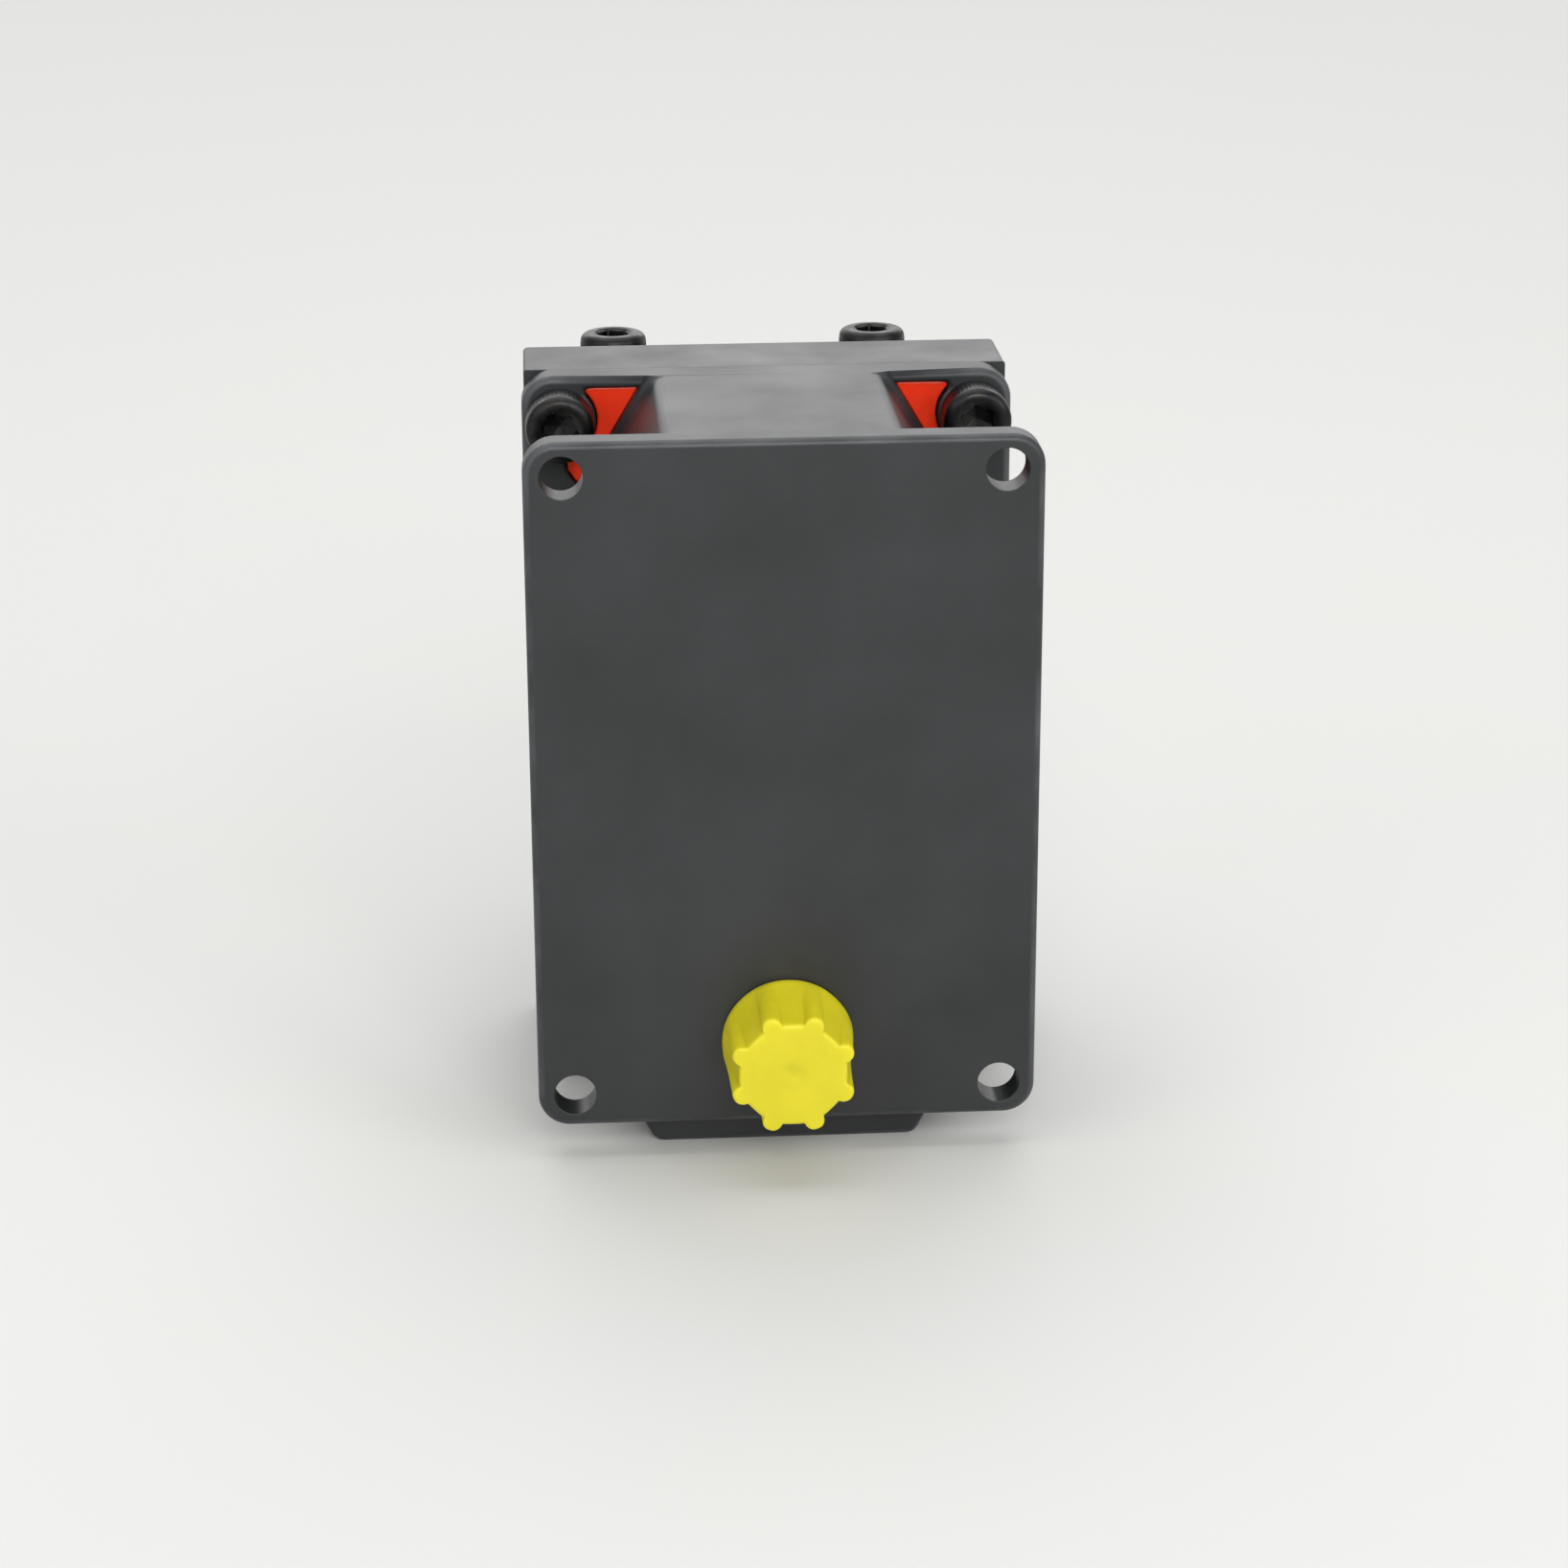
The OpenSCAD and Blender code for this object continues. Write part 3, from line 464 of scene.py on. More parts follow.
class Graph:
    """Node tree of one finish, with a short call for each step that finishes share."""

    def __init__(self, name: str) -> None:
        """Starts a material with its shader and output.

        Args:
            name: the material's name.
        """
        self.material: Material = bpy.data.materials.new(name)
        self.material.use_nodes = True
        self.tree = self.material.node_tree
        self.tree.nodes.clear()
        self.shader = self.add("ShaderNodeBsdfPrincipled")
        self.surface = self.add("ShaderNodeOutputMaterial").inputs["Surface"]
        self.feed(self.surface, self.shader.outputs["BSDF"])
        self.place = self.add("ShaderNodeTexCoord").outputs["Object"]

    def fill(self, node: Node, **inputs: Any) -> Node:
        """Feeds a node's inputs, by name, with values or links."""
        for name, value in inputs.items():
            self.feed(node.inputs[name.replace("_", " ")], value)
        return node

    def add(self, kind: str, **inputs: Any) -> Node:
        """Adds a node and feeds its inputs."""
        return self.fill(self.tree.nodes.new(kind), **inputs)

    def feed(self, socket: NodeSocket, value: Any) -> None:
        """Links a socket to another one, or sets its value."""
        if isinstance(value, NodeSocket):
            self.tree.links.new(value, socket)
        else:
            socket.default_value = value

    def noise(
        self,
        size: float,
        detail: float = 3.0,
        stretch: Color = (1.0, 1.0, 1.0),
        shift: float = 0.0,
    ) -> NodeSocket:
        """Cloudy pattern from 0 to 1.

        Args:
            size: size of the clouds, in millimetres.
            detail: how many finer layers it has.
            stretch: how much finer it is along each axis.
            shift: moves the pattern, in metres.

        Returns:
            The pattern's value.
        """
        spots = self.add(
            "ShaderNodeMapping", Vector=self.place, Scale=stretch, Location=(shift,) * 3
        ).outputs["Vector"]
        scale = 1.0 / (size * MM)
        return self.add(
            "ShaderNodeTexNoise", Vector=spots, Scale=scale, Detail=detail, Roughness=0.55
        ).outputs["Fac"]

    def spread(
        self, value: NodeSocket, start: float, end: float, low: float = 0.0, high: float = 1.0
    ) -> NodeSocket:
        """Maps a value from the range start..end to low..high, and clamps it."""
        ends = dict(From_Min=start, From_Max=end, To_Min=low, To_Max=high)
        return self.add("ShaderNodeMapRange", Value=value, **ends).outputs["Result"]

    def tint(self, factor: NodeSocket, first: Any, second: Any) -> NodeSocket:
        """Mixes two colours by a factor, through the node's colour sockets 6, 7 and 2."""
        mix = self.tree.nodes.new("ShaderNodeMix")
        mix.data_type = "RGBA"
        self.feed(mix.inputs[0], factor)
        for index, color in ((6, first), (7, second)):
            self.feed(mix.inputs[index], color if isinstance(color, NodeSocket) else (*color, 1.0))
        return mix.outputs[2]

    def bump(self, height: NodeSocket, depth: float, under: NodeSocket | None = None) -> NodeSocket:
        """Raises the surface by a pattern.

        Args:
            height: the pattern.
            depth: how high it stands, in millimetres.
            under: normal of the coarser bump that lies under it.

        Returns:
            The normal.
        """
        bump = self.add("ShaderNodeBump", Height=height, Distance=depth * MM, Strength=1.0)
        if under is not None:
            self.feed(bump.inputs["Normal"], under)
        return bump.outputs["Normal"]

    def marked_tone_share(self, source: EdgeFrom, size: float) -> NodeSocket:
        """Patchy share of the marked tone, from 0 to 1: on edges it stands for wear with a painted
        highlight, on the knob for its darker dish.

        Args:
            source: how the edges are found.
            size: size of the patches, in millimetres.

        Returns:
            The share's value.
        """
        if source is EdgeFrom.ROUNDINGS:
            marked = self.add("ShaderNodeAttribute")
            marked.attribute_name = TONE_MARK
            edges = marked.outputs["Fac"]
        else:
            point = self.add("ShaderNodeNewGeometry").outputs["Pointiness"]
            edges = self.spread(point, 0.51, 0.60, high=0.7)
        patches = self.spread(self.noise(size, 4.0, shift=0.57), 0.38, 0.68)
        return combined(self.tree, "MULTIPLY", edges, patches)


def shade(color: Color, factor: float) -> Color:
    """The colour made lighter or darker by a factor."""
    return (color[0] * factor, color[1] * factor, color[2] * factor)


@dataclass(frozen=True)
class Finish:
    """Look of one surface: its colour, its gloss, and how both vary over it."""

    name: str
    color: Color
    roughness: float = 0.5
    gloss_change: float = 0.06
    metallic: float = 0.0
    cloud_size: float = 14.0
    cloud_share: float = 0.10
    cloud_color: Color | None = None
    grain_size: float = 0.6
    grain_share: float = 0.06
    grain_depth: float = 0.01
    grain_stretch: Color = (1.0, 1.0, 1.0)
    wave_size: float = 9.0
    wave_depth: float = 0.03
    # Gain of the colour at marked points: on edges and crests it lightens them, part wear and part
    # painted highlight; on the knob it darkens the dish.
    marked_tone_gain: float = 1.0
    edge_from: EdgeFrom = EdgeFrom.SHAPE
    tone_patch_size: float = 5.0

    def material(self) -> Material:
        """Makes the material, or returns it if it is there already."""
        return bpy.data.materials.get(self.title()) or self.build()

    def title(self) -> str:
        """Name of the material, which must not be one that the frame brings along."""
        return self.name + "_finish"

    def build(self) -> Material:
        """Builds the node tree."""
        graph = Graph(self.title())
        clouds = graph.noise(self.cloud_size, 4.0)
        grain = graph.noise(self.grain_size, 2.0, self.grain_stretch)
        first = shade(self.color, 1.0 - self.cloud_share)
        second = self.cloud_color or shade(self.color, 1.0 + self.cloud_share)
        base = graph.tint(graph.spread(clouds, 0.35, 0.65), first, second)
        specks = graph.spread(grain, 0.3, 0.7, high=self.grain_share * 2)
        color = graph.tint(specks, base, shade(self.color, 0.5))
        # Marked edges take a lighter colour, part wear and part painted highlight; the knob's
        # marked dish takes a darker one.
        if self.marked_tone_gain != 1.0:
            worn = graph.marked_tone_share(self.edge_from, self.tone_patch_size)
            color = graph.tint(worn, color, shade(self.color, self.marked_tone_gain))
        smears = graph.noise(self.cloud_size * 0.6, shift=0.13)
        glossy, dull = self.roughness - self.gloss_change, self.roughness + self.gloss_change
        waves = graph.bump(graph.noise(self.wave_size, 2.0, shift=0.31), self.wave_depth)
        graph.fill(
            graph.shader, Base_Color=color, Metallic=self.metallic, IOR=1.5,
            Roughness=graph.spread(smears, 0.3, 0.7, glossy, dull),
            Normal=graph.bump(grain, self.grain_depth, waves),
        )
        self.dress(graph)
        return graph.material

    def dress(self, graph: Graph) -> None:
        """Adds what only this kind of surface has."""


@dataclass(frozen=True)
class Moulding(Finish):
    """Moulded plastic, which light enters a little."""

    depth: float = 1.0
    share: float = 0.1
    coat: float = 0.0
    coat_roughness: float = 0.1

    def dress(self, graph: Graph) -> None:
        """Lets light in under the surface and puts a moulded skin on it."""
        graph.fill(
            graph.shader, Subsurface_Weight=self.share, Subsurface_Scale=1.0,
            Subsurface_Radius=(self.depth * MM,) * 3,
            Coat_Weight=self.coat, Coat_Roughness=self.coat_roughness,
        )


@dataclass(frozen=True)
class Metal(Finish):
    """Bare or plated metal."""

    metallic: float = 1.0


DARK_GREY = (0.0178, 0.0195, 0.0211)

# On the dark paints, mouldings and screws the tone gain at marked edges paints a highlight as well
# as wear.
FINISHES: dict[str, Finish] = {
    finish.name: finish
    for finish in (
        Finish(
            "housing_paint", DARK_GREY, roughness=0.43, gloss_change=0.05,
            cloud_size=34.0, cloud_share=0.28, grain_size=0.45, grain_depth=0.014,
            wave_depth=0.035, marked_tone_gain=3.2, edge_from=EdgeFrom.ROUNDINGS, tone_patch_size=13.0,
        ),
        Finish(
            "block_paint", DARK_GREY, roughness=0.42, cloud_size=26.0,
            grain_size=0.4, grain_depth=0.006, wave_size=12.0, wave_depth=0.02,
            marked_tone_gain=3.0, edge_from=EdgeFrom.ROUNDINGS,
        ),
        Finish(
            "cover_plate", (0.020, 0.0212, 0.0222), roughness=0.40,
            grain_size=0.4, grain_depth=0.008, marked_tone_gain=3.0, edge_from=EdgeFrom.ROUNDINGS,
        ),
        Moulding(
            "red_moulding", (0.95, 0.04, 0.008), roughness=0.24, gloss_change=0.05,
            cloud_size=10.0, cloud_share=0.07, grain_size=0.5, grain_share=0.03,
            grain_depth=0.004, wave_size=6.0, share=0.12, depth=0.8,
            coat=0.3, coat_roughness=0.15,
        ),
        # Here the tone gain darkens the knob's marked dish.
        Moulding(
            "yellow_moulding", (0.72, 0.635, 0.011), roughness=0.46,
            cloud_size=9.0, cloud_share=0.04, grain_size=0.5, grain_share=0.02,
            grain_depth=0.004, wave_size=5.0, share=0.6, depth=3.0,
            marked_tone_gain=0.82, edge_from=EdgeFrom.ROUNDINGS,
        ),
        Moulding(
            "black_moulding", (0.016, 0.016, 0.018), cloud_size=12.0, cloud_share=0.15,
            grain_size=0.35, grain_depth=0.012, share=0.0,
            marked_tone_gain=2.0, edge_from=EdgeFrom.ROUNDINGS,
        ),
        Metal(
            "black_screws", (0.024, 0.024, 0.026), roughness=0.38, gloss_change=0.09,
            cloud_size=3.0, cloud_color=(0.034, 0.032, 0.030), cloud_share=0.25,
            grain_size=0.3, grain_depth=0.006, wave_size=2.5, wave_depth=0.01,
            marked_tone_gain=2.6,
        ),
        Metal("plain_steel", (0.45, 0.46, 0.48), roughness=0.28, grain_size=0.4),
        Metal(
            "turned_steel", (0.5, 0.51, 0.53), roughness=0.25,
            grain_size=4.0, grain_stretch=(1.0, 40.0, 1.0),
        ),
        Metal("spring_steel", (0.25, 0.25, 0.27), roughness=0.32),
        Metal(
            "bronze", (0.5, 0.32, 0.13), roughness=0.42, cloud_share=0.2,
            grain_size=0.25, grain_depth=0.012,
        ),
        Metal(
            "brass", (0.72, 0.52, 0.2), roughness=0.27, cloud_size=5.0,
            cloud_color=(0.62, 0.42, 0.17), grain_size=0.5, marked_tone_gain=1.25,
        ),
        Metal(
            "copper", (0.72, 0.32, 0.17), roughness=0.32, gloss_change=0.1,
            cloud_size=7.0, cloud_color=(0.5, 0.21, 0.12), grain_size=3.0,
            grain_stretch=(12.0, 1.0, 12.0), grain_depth=0.004,
            marked_tone_gain=1.25, edge_from=EdgeFrom.ROUNDINGS,
        ),
        Finish(
            "seal_rubber", (0.02, 0.02, 0.02), roughness=0.75, grain_size=0.3, grain_depth=0.02
        ),
        Finish(
            "gasket_rubber", (0.025, 0.025, 0.026), roughness=0.8, grain_size=0.3, grain_depth=0.03
        ),
        Finish(
            "fibre", (0.3, 0.26, 0.2), roughness=0.7, cloud_share=0.2, grain_size=1.5,
            grain_share=0.2, grain_depth=0.03, grain_stretch=(4.0, 1.0, 6.0),
        ),
        Metal(
            "zinc_screws", (0.58, 0.6, 0.62), roughness=0.3, gloss_change=0.08,
            cloud_size=2.5, cloud_color=(0.66, 0.64, 0.56),
            grain_size=0.25, grain_depth=0.004, marked_tone_gain=1.2,
        ),
        Metal(
            "zinc_washers", (0.56, 0.58, 0.6), roughness=0.34, gloss_change=0.08,
            cloud_size=3.0, cloud_color=(0.62, 0.6, 0.55),
            grain_size=0.3, grain_depth=0.006, marked_tone_gain=1.2,
        ),
    )
}


# ---- castings and plates whose shape comes from the frame ------------------------


ON_PLANE = 0.03
ON_BORE = 0.06
ALONG = 0.98
FRAME_POINT = 2e-6
FLAT_TURN = math.radians(0.4)


@dataclass(frozen=True)
class Edge:
    """Sharp edge of a piece, in millimetres."""

    start: Vector
    end: Vector
    outer: bool

    @classmethod
    def of(cls, edge: BMEdge) -> Edge:
        """Reads an edge of a mesh."""
        start, end = (vert.co / MM for vert in edge.verts)
        return cls(start, end, edge.is_convex)

    def ends(self) -> tuple[Vector, Vector]:
        """Both end points."""
        return self.start, self.end

    def on(self, axis: Axis, *values: float) -> bool:
        """Whether the whole edge lies in one of the planes across an axis."""
        return any(all(abs(p[axis.value] - v) < ON_PLANE for p in self.ends()) for v in values)

    def within(self, axis: Axis, low: float, high: float) -> bool:
        """Whether the whole edge lies between two planes across an axis."""
        return all(low - ON_PLANE <= p[axis.value] <= high + ON_PLANE for p in self.ends())

    def beyond(self, reach: float) -> bool:
        """Whether the whole edge lies further than this from the middle, to either side."""
        return all(abs(p.x) > reach for p in self.ends())

    def along(self, axis: Axis) -> bool:
        """Whether the edge runs along an axis."""
        run = self.end - self.start
        return run.length > 0 and abs(run[axis.value]) > ALONG * run.length

    def round_bore(self, centres: Iterable[Pair], radius: float) -> bool:
        """Whether the edge is part of the mouth of a bore along Y.

        Args:
            centres: (x, z) of each bore.
            radius: the bores' radius.

        Returns:
            True if both its ends lie at that radius from one of them.
        """
        return any(
            all(abs(math.hypot(p.x - x, p.z - z) - radius) < ON_BORE for p in self.ends())
            for x, z in centres
        )


@dataclass
class FramePiece:
    """Piece whose shape is the frame's own, with its edges rounded as the maker leaves them."""

    node: str
    slot: str
    body: str = "case"
    edge: float = 0.4
    steps: int = 3
    sharp: float = 24.0

    def rounding(self, edge: Edge) -> float:
        """Width of an edge's rounding, in millimetres."""
        return self.edge if edge.outer else 0.0

    def shape(self, mesh: BMesh) -> None:
        """Changes the copied shape before its edges are rounded."""

    def build(self, nodes: dict[str, Object]) -> Object:
        """Copies the node's shape, rounds its edges and puts the piece in its place.

        Args:
            nodes: the frame's objects by name.

        Returns:
            The finished piece.
        """
        mesh = bmesh.new()
        mesh.from_mesh(nodes[self.node].data)
        bmesh.ops.remove_doubles(mesh, verts=mesh.verts, dist=FRAME_POINT)
        bmesh.ops.dissolve_limit(mesh, angle_limit=FLAT_TURN, verts=mesh.verts, edges=mesh.edges)
        self.shape(mesh)
        layer = mesh.edges.layers.float.new("bevel_weight_edge")
        sharp = math.radians(self.sharp)
        widths = {
            edge: self.rounding(Edge.of(edge))
            for edge in mesh.edges
            if len(edge.link_faces) == 2 and edge.calc_face_angle(0.0) > sharp
        }
        widest = max(widths.values(), default=0.0)
        for edge, width in widths.items():
            edge[layer] = width / widest if widest else 0.0
        rounding = (widest, self.steps) if widest else None
        return make_piece(
            self.node + "_body", mesh, self.body, [self.node], self.slot, roundings=rounding
        )


@dataclass
class Housing(FramePiece):
    """Cast housing: front plate, neck and rear flange in one piece."""

    node: str = "housing"
    slot: str = "housing_paint"
    steps: int = 4
    plate_back: float = 7.0
    root_front: float = 50.0
    half_width: float = 47.5
    corner: float = 6.0
    corner_room: float = 0.05
    rim: float = 2.2
    neck_side: float = 22.0
    fixing_radius: float = 4.0
    clamp_radius: float = 4.5
    root_lines: tuple[tuple[Pair, Pair], ...] = (
        ((23.5, TOP), (38.0, 42.0)),
        ((27.0, LOW), (38.0, -55.0)),
    )
    root_room: float = 0.1
    front_round: float = 1.4
    plate_round: float = 1.1
    neck_fillet: float = 2.4
    ridge_round: float = 2.0
    brow_round: float = 1.8
    root_fillet: float = 1.6
    flange_round: float = 1.5
    corner_round: float = 1.3
    window_round: float = 0.6
    hole_edge: float = 0.2
    joint_edge: float = 0.1

    def rounding(self, edge: Edge) -> float:
        """Width of an edge's rounding, in millimetres."""
        if edge.round_bore(FIXINGS, self.fixing_radius):
            return self.hole_edge
        if edge.round_bore(CLAMPS, self.clamp_radius):
            return self.hole_edge if edge.on(Axis.Y, FLANGE_FRONT) else 0.0
        if edge.on(Axis.Y, 0.0):
            return self.front_round
        if edge.on(Axis.Y, self.plate_back):
            return self.plate_round if edge.outer else self.neck_fillet
        if edge.on(Axis.Y, self.root_front):
            return self.root_fillet
        if edge.on(Axis.Y, FLANGE_FRONT):
            return self.flange_edge(edge)
        if edge.on(Axis.Y, FLANGE_BACK):
            reach = self.half_width - self.corner - 2 * self.corner_room
            outside = edge.on(Axis.Z, TOP, LOW) or edge.beyond(reach)
            return self.joint_edge if outside and edge.outer else 0.0
        return self.ridge(edge)

    def on_root(self, edge: Edge) -> bool:
        """Whether an edge lies where the neck's root meets the flange, at a shoulder or flank."""
        for (x, z), (far_x, far_z) in self.root_lines:
            along = Vector((far_x - x, far_z - z)).normalized()
            offsets = (Vector((abs(p.x) - x, p.z - z)) for p in edge.ends())
            if all(abs(along.cross(offset)) < self.root_room for offset in offsets):
                return True
        return False

    def on_corner(self, point: Vector) -> bool:
        """Whether a point lies on the arc of one of the flange's corners."""
        beside = abs(point.x) - (self.half_width - self.corner)
        beyond = (point.z - TOP if point.z > 0 else LOW - point.z) + self.corner
        on_arc = abs(math.hypot(beside, beyond) - self.corner) < ON_BORE
        return min(beside, beyond) > -self.corner_room and on_arc

    def flange_edge(self, edge: Edge) -> float:
        """Rounding of an edge in the flange's front face."""
        if self.on_root(edge) or not edge.outer:
            return 0.0
        outside = (
            edge.within(Axis.Z, TOP - self.corner_room, TOP)
            or edge.within(Axis.Z, LOW, LOW + self.corner_room)
            or edge.beyond(self.half_width - self.rim)
            or any(self.on_corner(p) for p in edge.ends())
        )
        return self.flange_round if outside else self.window_round

    def ridge(self, edge: Edge) -> float:
        """Rounding of an edge that runs from front to back, or over the top."""
        if edge.on(Axis.Z, TOP, LOW):
            return self.brow_round if edge.outer else 0.0
        if not edge.along(Axis.Y):
            return 0.0
        if edge.within(Axis.Y, FLANGE_FRONT, FLANGE_BACK):
            return 0.0 if edge.outer or self.on_root(edge) else self.corner_round
        on_neck = edge.within(Axis.Y, self.plate_back, FLANGE_FRONT)
        if edge.outer and on_neck and abs(edge.start.x) > self.neck_side:
            return self.ridge_round
        return 0.0


@dataclass
class ContactBlock(FramePiece):
    """Rectangular block behind the flange."""

    node: str = "contact_block"
    slot: str = "block_paint"
    half_width: float = 47.0
    joint_edge: float = 0.15
    corner_round: float = 0.9
    hole_edge: float = 0.3

    def rounding(self, edge: Edge) -> float:
        """Width of an edge's rounding, in millimetres."""
        across = edge.on(Axis.X, self.half_width, -self.half_width)
        if across or edge.on(Axis.Z, TOP, LOW):
            return self.joint_edge if edge.on(Axis.Y, FLANGE_BACK) else self.corner_round
        return self.hole_edge if edge.on(Axis.Y, BLOCK_BACK) else 0.0


@dataclass
class Carrier(FramePiece):
    """Insulating carrier, whose pads fill the flange's windows."""

    node: str = "contact_carrier"
    slot: str = "red_moulding"
    pad_front: float = 55.0
    swell: Pair = (1.03, 1.02)
    rise: float = 1.8
    room: float = 0.02
    face_round: float = 0.5
    side_round: float = 0.25

    def shape(self, mesh: BMesh) -> None:
        """Swells each pad until it fills its window, as a moulding pressed into it does."""
        for side, end in ((1, 1), (1, -1), (-1, 1), (-1, -1)):
            verts = [
                vert
                for vert in mesh.verts
                if vert.co.x * side > 0
                and vert.co.z * end > 0
                and self.pad_front - self.room < vert.co.y / MM < FLANGE_BACK - self.room
            ]
            middle = sum((vert.co for vert in verts), Vector()) / len(verts)
            swell = (self.swell[0], 1.0, self.swell[1])
            bmesh.ops.scale(mesh, vec=swell, space=Matrix.Translation(-middle), verts=verts)
            front = [vert for vert in verts if vert.co.y / MM < self.pad_front + self.room]
            bmesh.ops.translate(mesh, vec=(0.0, -self.rise * MM, 0.0), verts=front)

    def rounding(self, edge: Edge) -> float:
        """Width of an edge's rounding, in millimetres."""
        front = self.pad_front - self.rise
        if edge.on(Axis.Y, front):
            return self.face_round
        if edge.outer and edge.along(Axis.Y) and edge.within(Axis.Y, front, FLANGE_BACK):
            return self.side_round
        return 0.0


# ---- screws and washers --------------------------------------------------------


@dataclass
class Thread:
    """Outside thread drawn as fine ridges along a shank."""

    radius: float
    pitch: float
    start: float
    end: float
    depth_share: float = 0.54
    lead: float = 0.1

    def rings(self) -> list[Pair]:
        """(radius, height) of each ring from the tip upwards."""
        depth = self.pitch * self.depth_share
        height = self.start + depth
        rings = [(self.radius - depth, self.start), (self.radius - self.lead, height)]
        while height + self.pitch < self.end:
            rings.append((self.radius - depth, height + self.pitch / 2))
            height += self.pitch
            rings.append((self.radius, height))
        rings.append((self.radius - depth / 2, self.end))
        return rings


@dataclass
class CapScrew:
    """Socket-head cap screw: knurled head, rounded top edge and hexagon socket."""

    head_radius: float = 6.65
    head_height: float = 8.0
    shank_radius: float = 4.0
    pitch: float = 1.25
    length: float = 19.0
    neck: float = 0.2
    skin: float = 0.05
    foot: tuple[Pair, ...] = ((0.45, 0.0), (0.1, 0.35))
    knurl: float = 0.12
    knurl_ends: Pair = (0.6, 0.5)
    teeth: int = 48
    edge: float = 1.6
    socket: float = 6.0
    socket_mouth: tuple[Pair, ...] = ((0.35, 0.0), (0.22, 0.08))
    socket_lead: float = 0.45
    socket_depth: float = 4.0
    drill_edge: Pair = (0.15, 0.02)
    drill_tip: Pair = (0.4, 0.9)
    segments: int = 192

    def mesh(self) -> BMesh:
        """The screw with the head's underside at height 0 and the thread below it."""
        shell = Shell(self.segments)
        shell.turned(Thread(self.shank_radius, self.pitch, -self.length, -self.neck).rings())
        shell.turned([(self.shank_radius - self.skin, 0.0)])
        shell.turned((self.head_radius - inset, height) for inset, height in self.foot)
        teeth = knurled_line(self.head_radius, self.knurl, self.teeth)
        shoulder = self.head_height - self.edge
        shell.ring(self.knurl_ends[0], teeth).ring(shoulder - self.knurl_ends[1], teeth)
        smooth = self.head_radius - self.skin
        shell.turned([(smooth, shoulder)])
        for rise, inset in quarter_round():
            shell.ring(shoulder + self.edge * rise, round_line(smooth - self.edge * inset))
        self.hexagon(shell)
        return shell.closed()

    def hexagon(self, shell: Shell) -> None:
        """Sinks the hexagon socket into the head."""
        flat, top = self.socket / 2, self.head_height
        point = flat / math.cos(math.pi / 6)
        shell.turned((point + flare, top - depth) for flare, depth in self.socket_mouth)
        bottom = top - self.socket_depth
        for height in (top - self.socket_lead, bottom):
            shell.ring(height, polygon_line(6, flat))
        inset, depth = self.drill_edge
        shell.ring(bottom - depth, polygon_line(6, flat - inset))
        radius, depth = self.drill_tip
        shell.ring(bottom - depth, round_line(radius))


@dataclass
class PanScrew:
    """Pan-head screw with a cross recess."""

    radius: float
    head_radius: float
    head_height: float
    length: float
    pitch_share: float = 0.34
    neck: float = 0.1
    skin: float = 0.05
    edge: float = 0.12
    side_share: float = 0.42
    dome_share: float = 0.5
    dome_inset: float = 0.3
    mouth: Pair = (0.96, 1.08)
    arm_reach: float = 0.55
    arm_width: float = 0.12
    recess: tuple[Pair, ...] = ((1.0, 1.25), (0.96, 1.0), (0.5, 0.8))
    segments: int = 96

    def mesh(self) -> BMesh:
        """The screw with the head's underside at height 0 and the thread below it."""
        shell = Shell(self.segments)
        pitch = self.radius * self.pitch_share
        shell.turned(Thread(self.radius, pitch, -self.length, -self.neck).rings())
        height, wide = self.head_height, self.head_radius
        side = height * self.side_share
        shell.turned([(self.radius - self.skin, 0.0), (wide - self.edge, 0.0)])
        shell.turned([(wide, self.edge), (wide, side)])
        for rise, inset in quarter_round():
            level = height * (self.side_share + self.dome_share * rise)
            shell.ring(level, round_line(wide * (1 - self.dome_inset * inset)))
        reach, half_width = wide * self.arm_reach, wide * self.arm_width
        shell.ring(height * self.mouth[0], round_line(reach * self.mouth[1]))
        levels = (height, height - self.edge, side)
        for level, (longer, wider) in zip(levels, self.recess):
            shell.ring(level, cross_line(reach * longer, half_width * wider))
        return shell.closed()


@dataclass
class Washer:
    """Flat ring with its edges taken off."""

    inner: float
    outer: float
    thick: float
    edge: float = 0.2
    segments: int = 96

    def mesh(self) -> BMesh:
        """The washer, standing on height 0."""
        e, t, inside, rim = self.edge, self.thick, self.inner, self.outer
        profile = [
            (inside, e), (inside + e, 0.0), (rim - e, 0.0), (rim, e),
            (rim, t - e * 1.6), (rim - e * 0.6, t - e * 0.5), (rim - e * 1.6, t),
            (inside + e, t), (inside, t - e), (inside, e),
        ]
        return Shell(self.segments).turned(profile).closed()


@dataclass
class SpringWasher:
    """Split ring of square wire, whose ends stand a little apart."""

    inner: float = 4.3
    wide: float = 2.6
    thick: float = SPRING_THICK
    sweep: float = 350.0
    edge: float = 0.22
    steps: int = 90

    def mesh(self) -> BMesh:
        """The washer, standing on height 0."""
        mesh = bmesh.new()
        wire = bmesh.ops.create_grid(mesh, x_segments=1, y_segments=1, size=0.5)["verts"]
        bmesh.ops.scale(mesh, vec=Vector((self.wide, self.thick, 1.0)) * MM, verts=wire)
        stand_section(mesh, wire, Vector((self.inner + self.wide / 2, 0, self.thick / 2)))
        bmesh.ops.bevel(
            mesh, geom=wire, offset=self.edge * MM, segments=2, profile=0.5,
            affect="VERTICES", material=-1,
        )
        bmesh.ops.spin(
            mesh, geom=mesh.verts[:] + mesh.edges[:] + mesh.faces[:], cent=(0, 0, 0),
            axis=(0, 0, 1), angle=math.radians(self.sweep), steps=self.steps, use_merge=False,
        )
        bmesh.ops.remove_doubles(mesh, verts=mesh.verts, dist=SAME_POINT)
        bmesh.ops.recalc_face_normals(mesh, faces=mesh.faces)
        return mesh


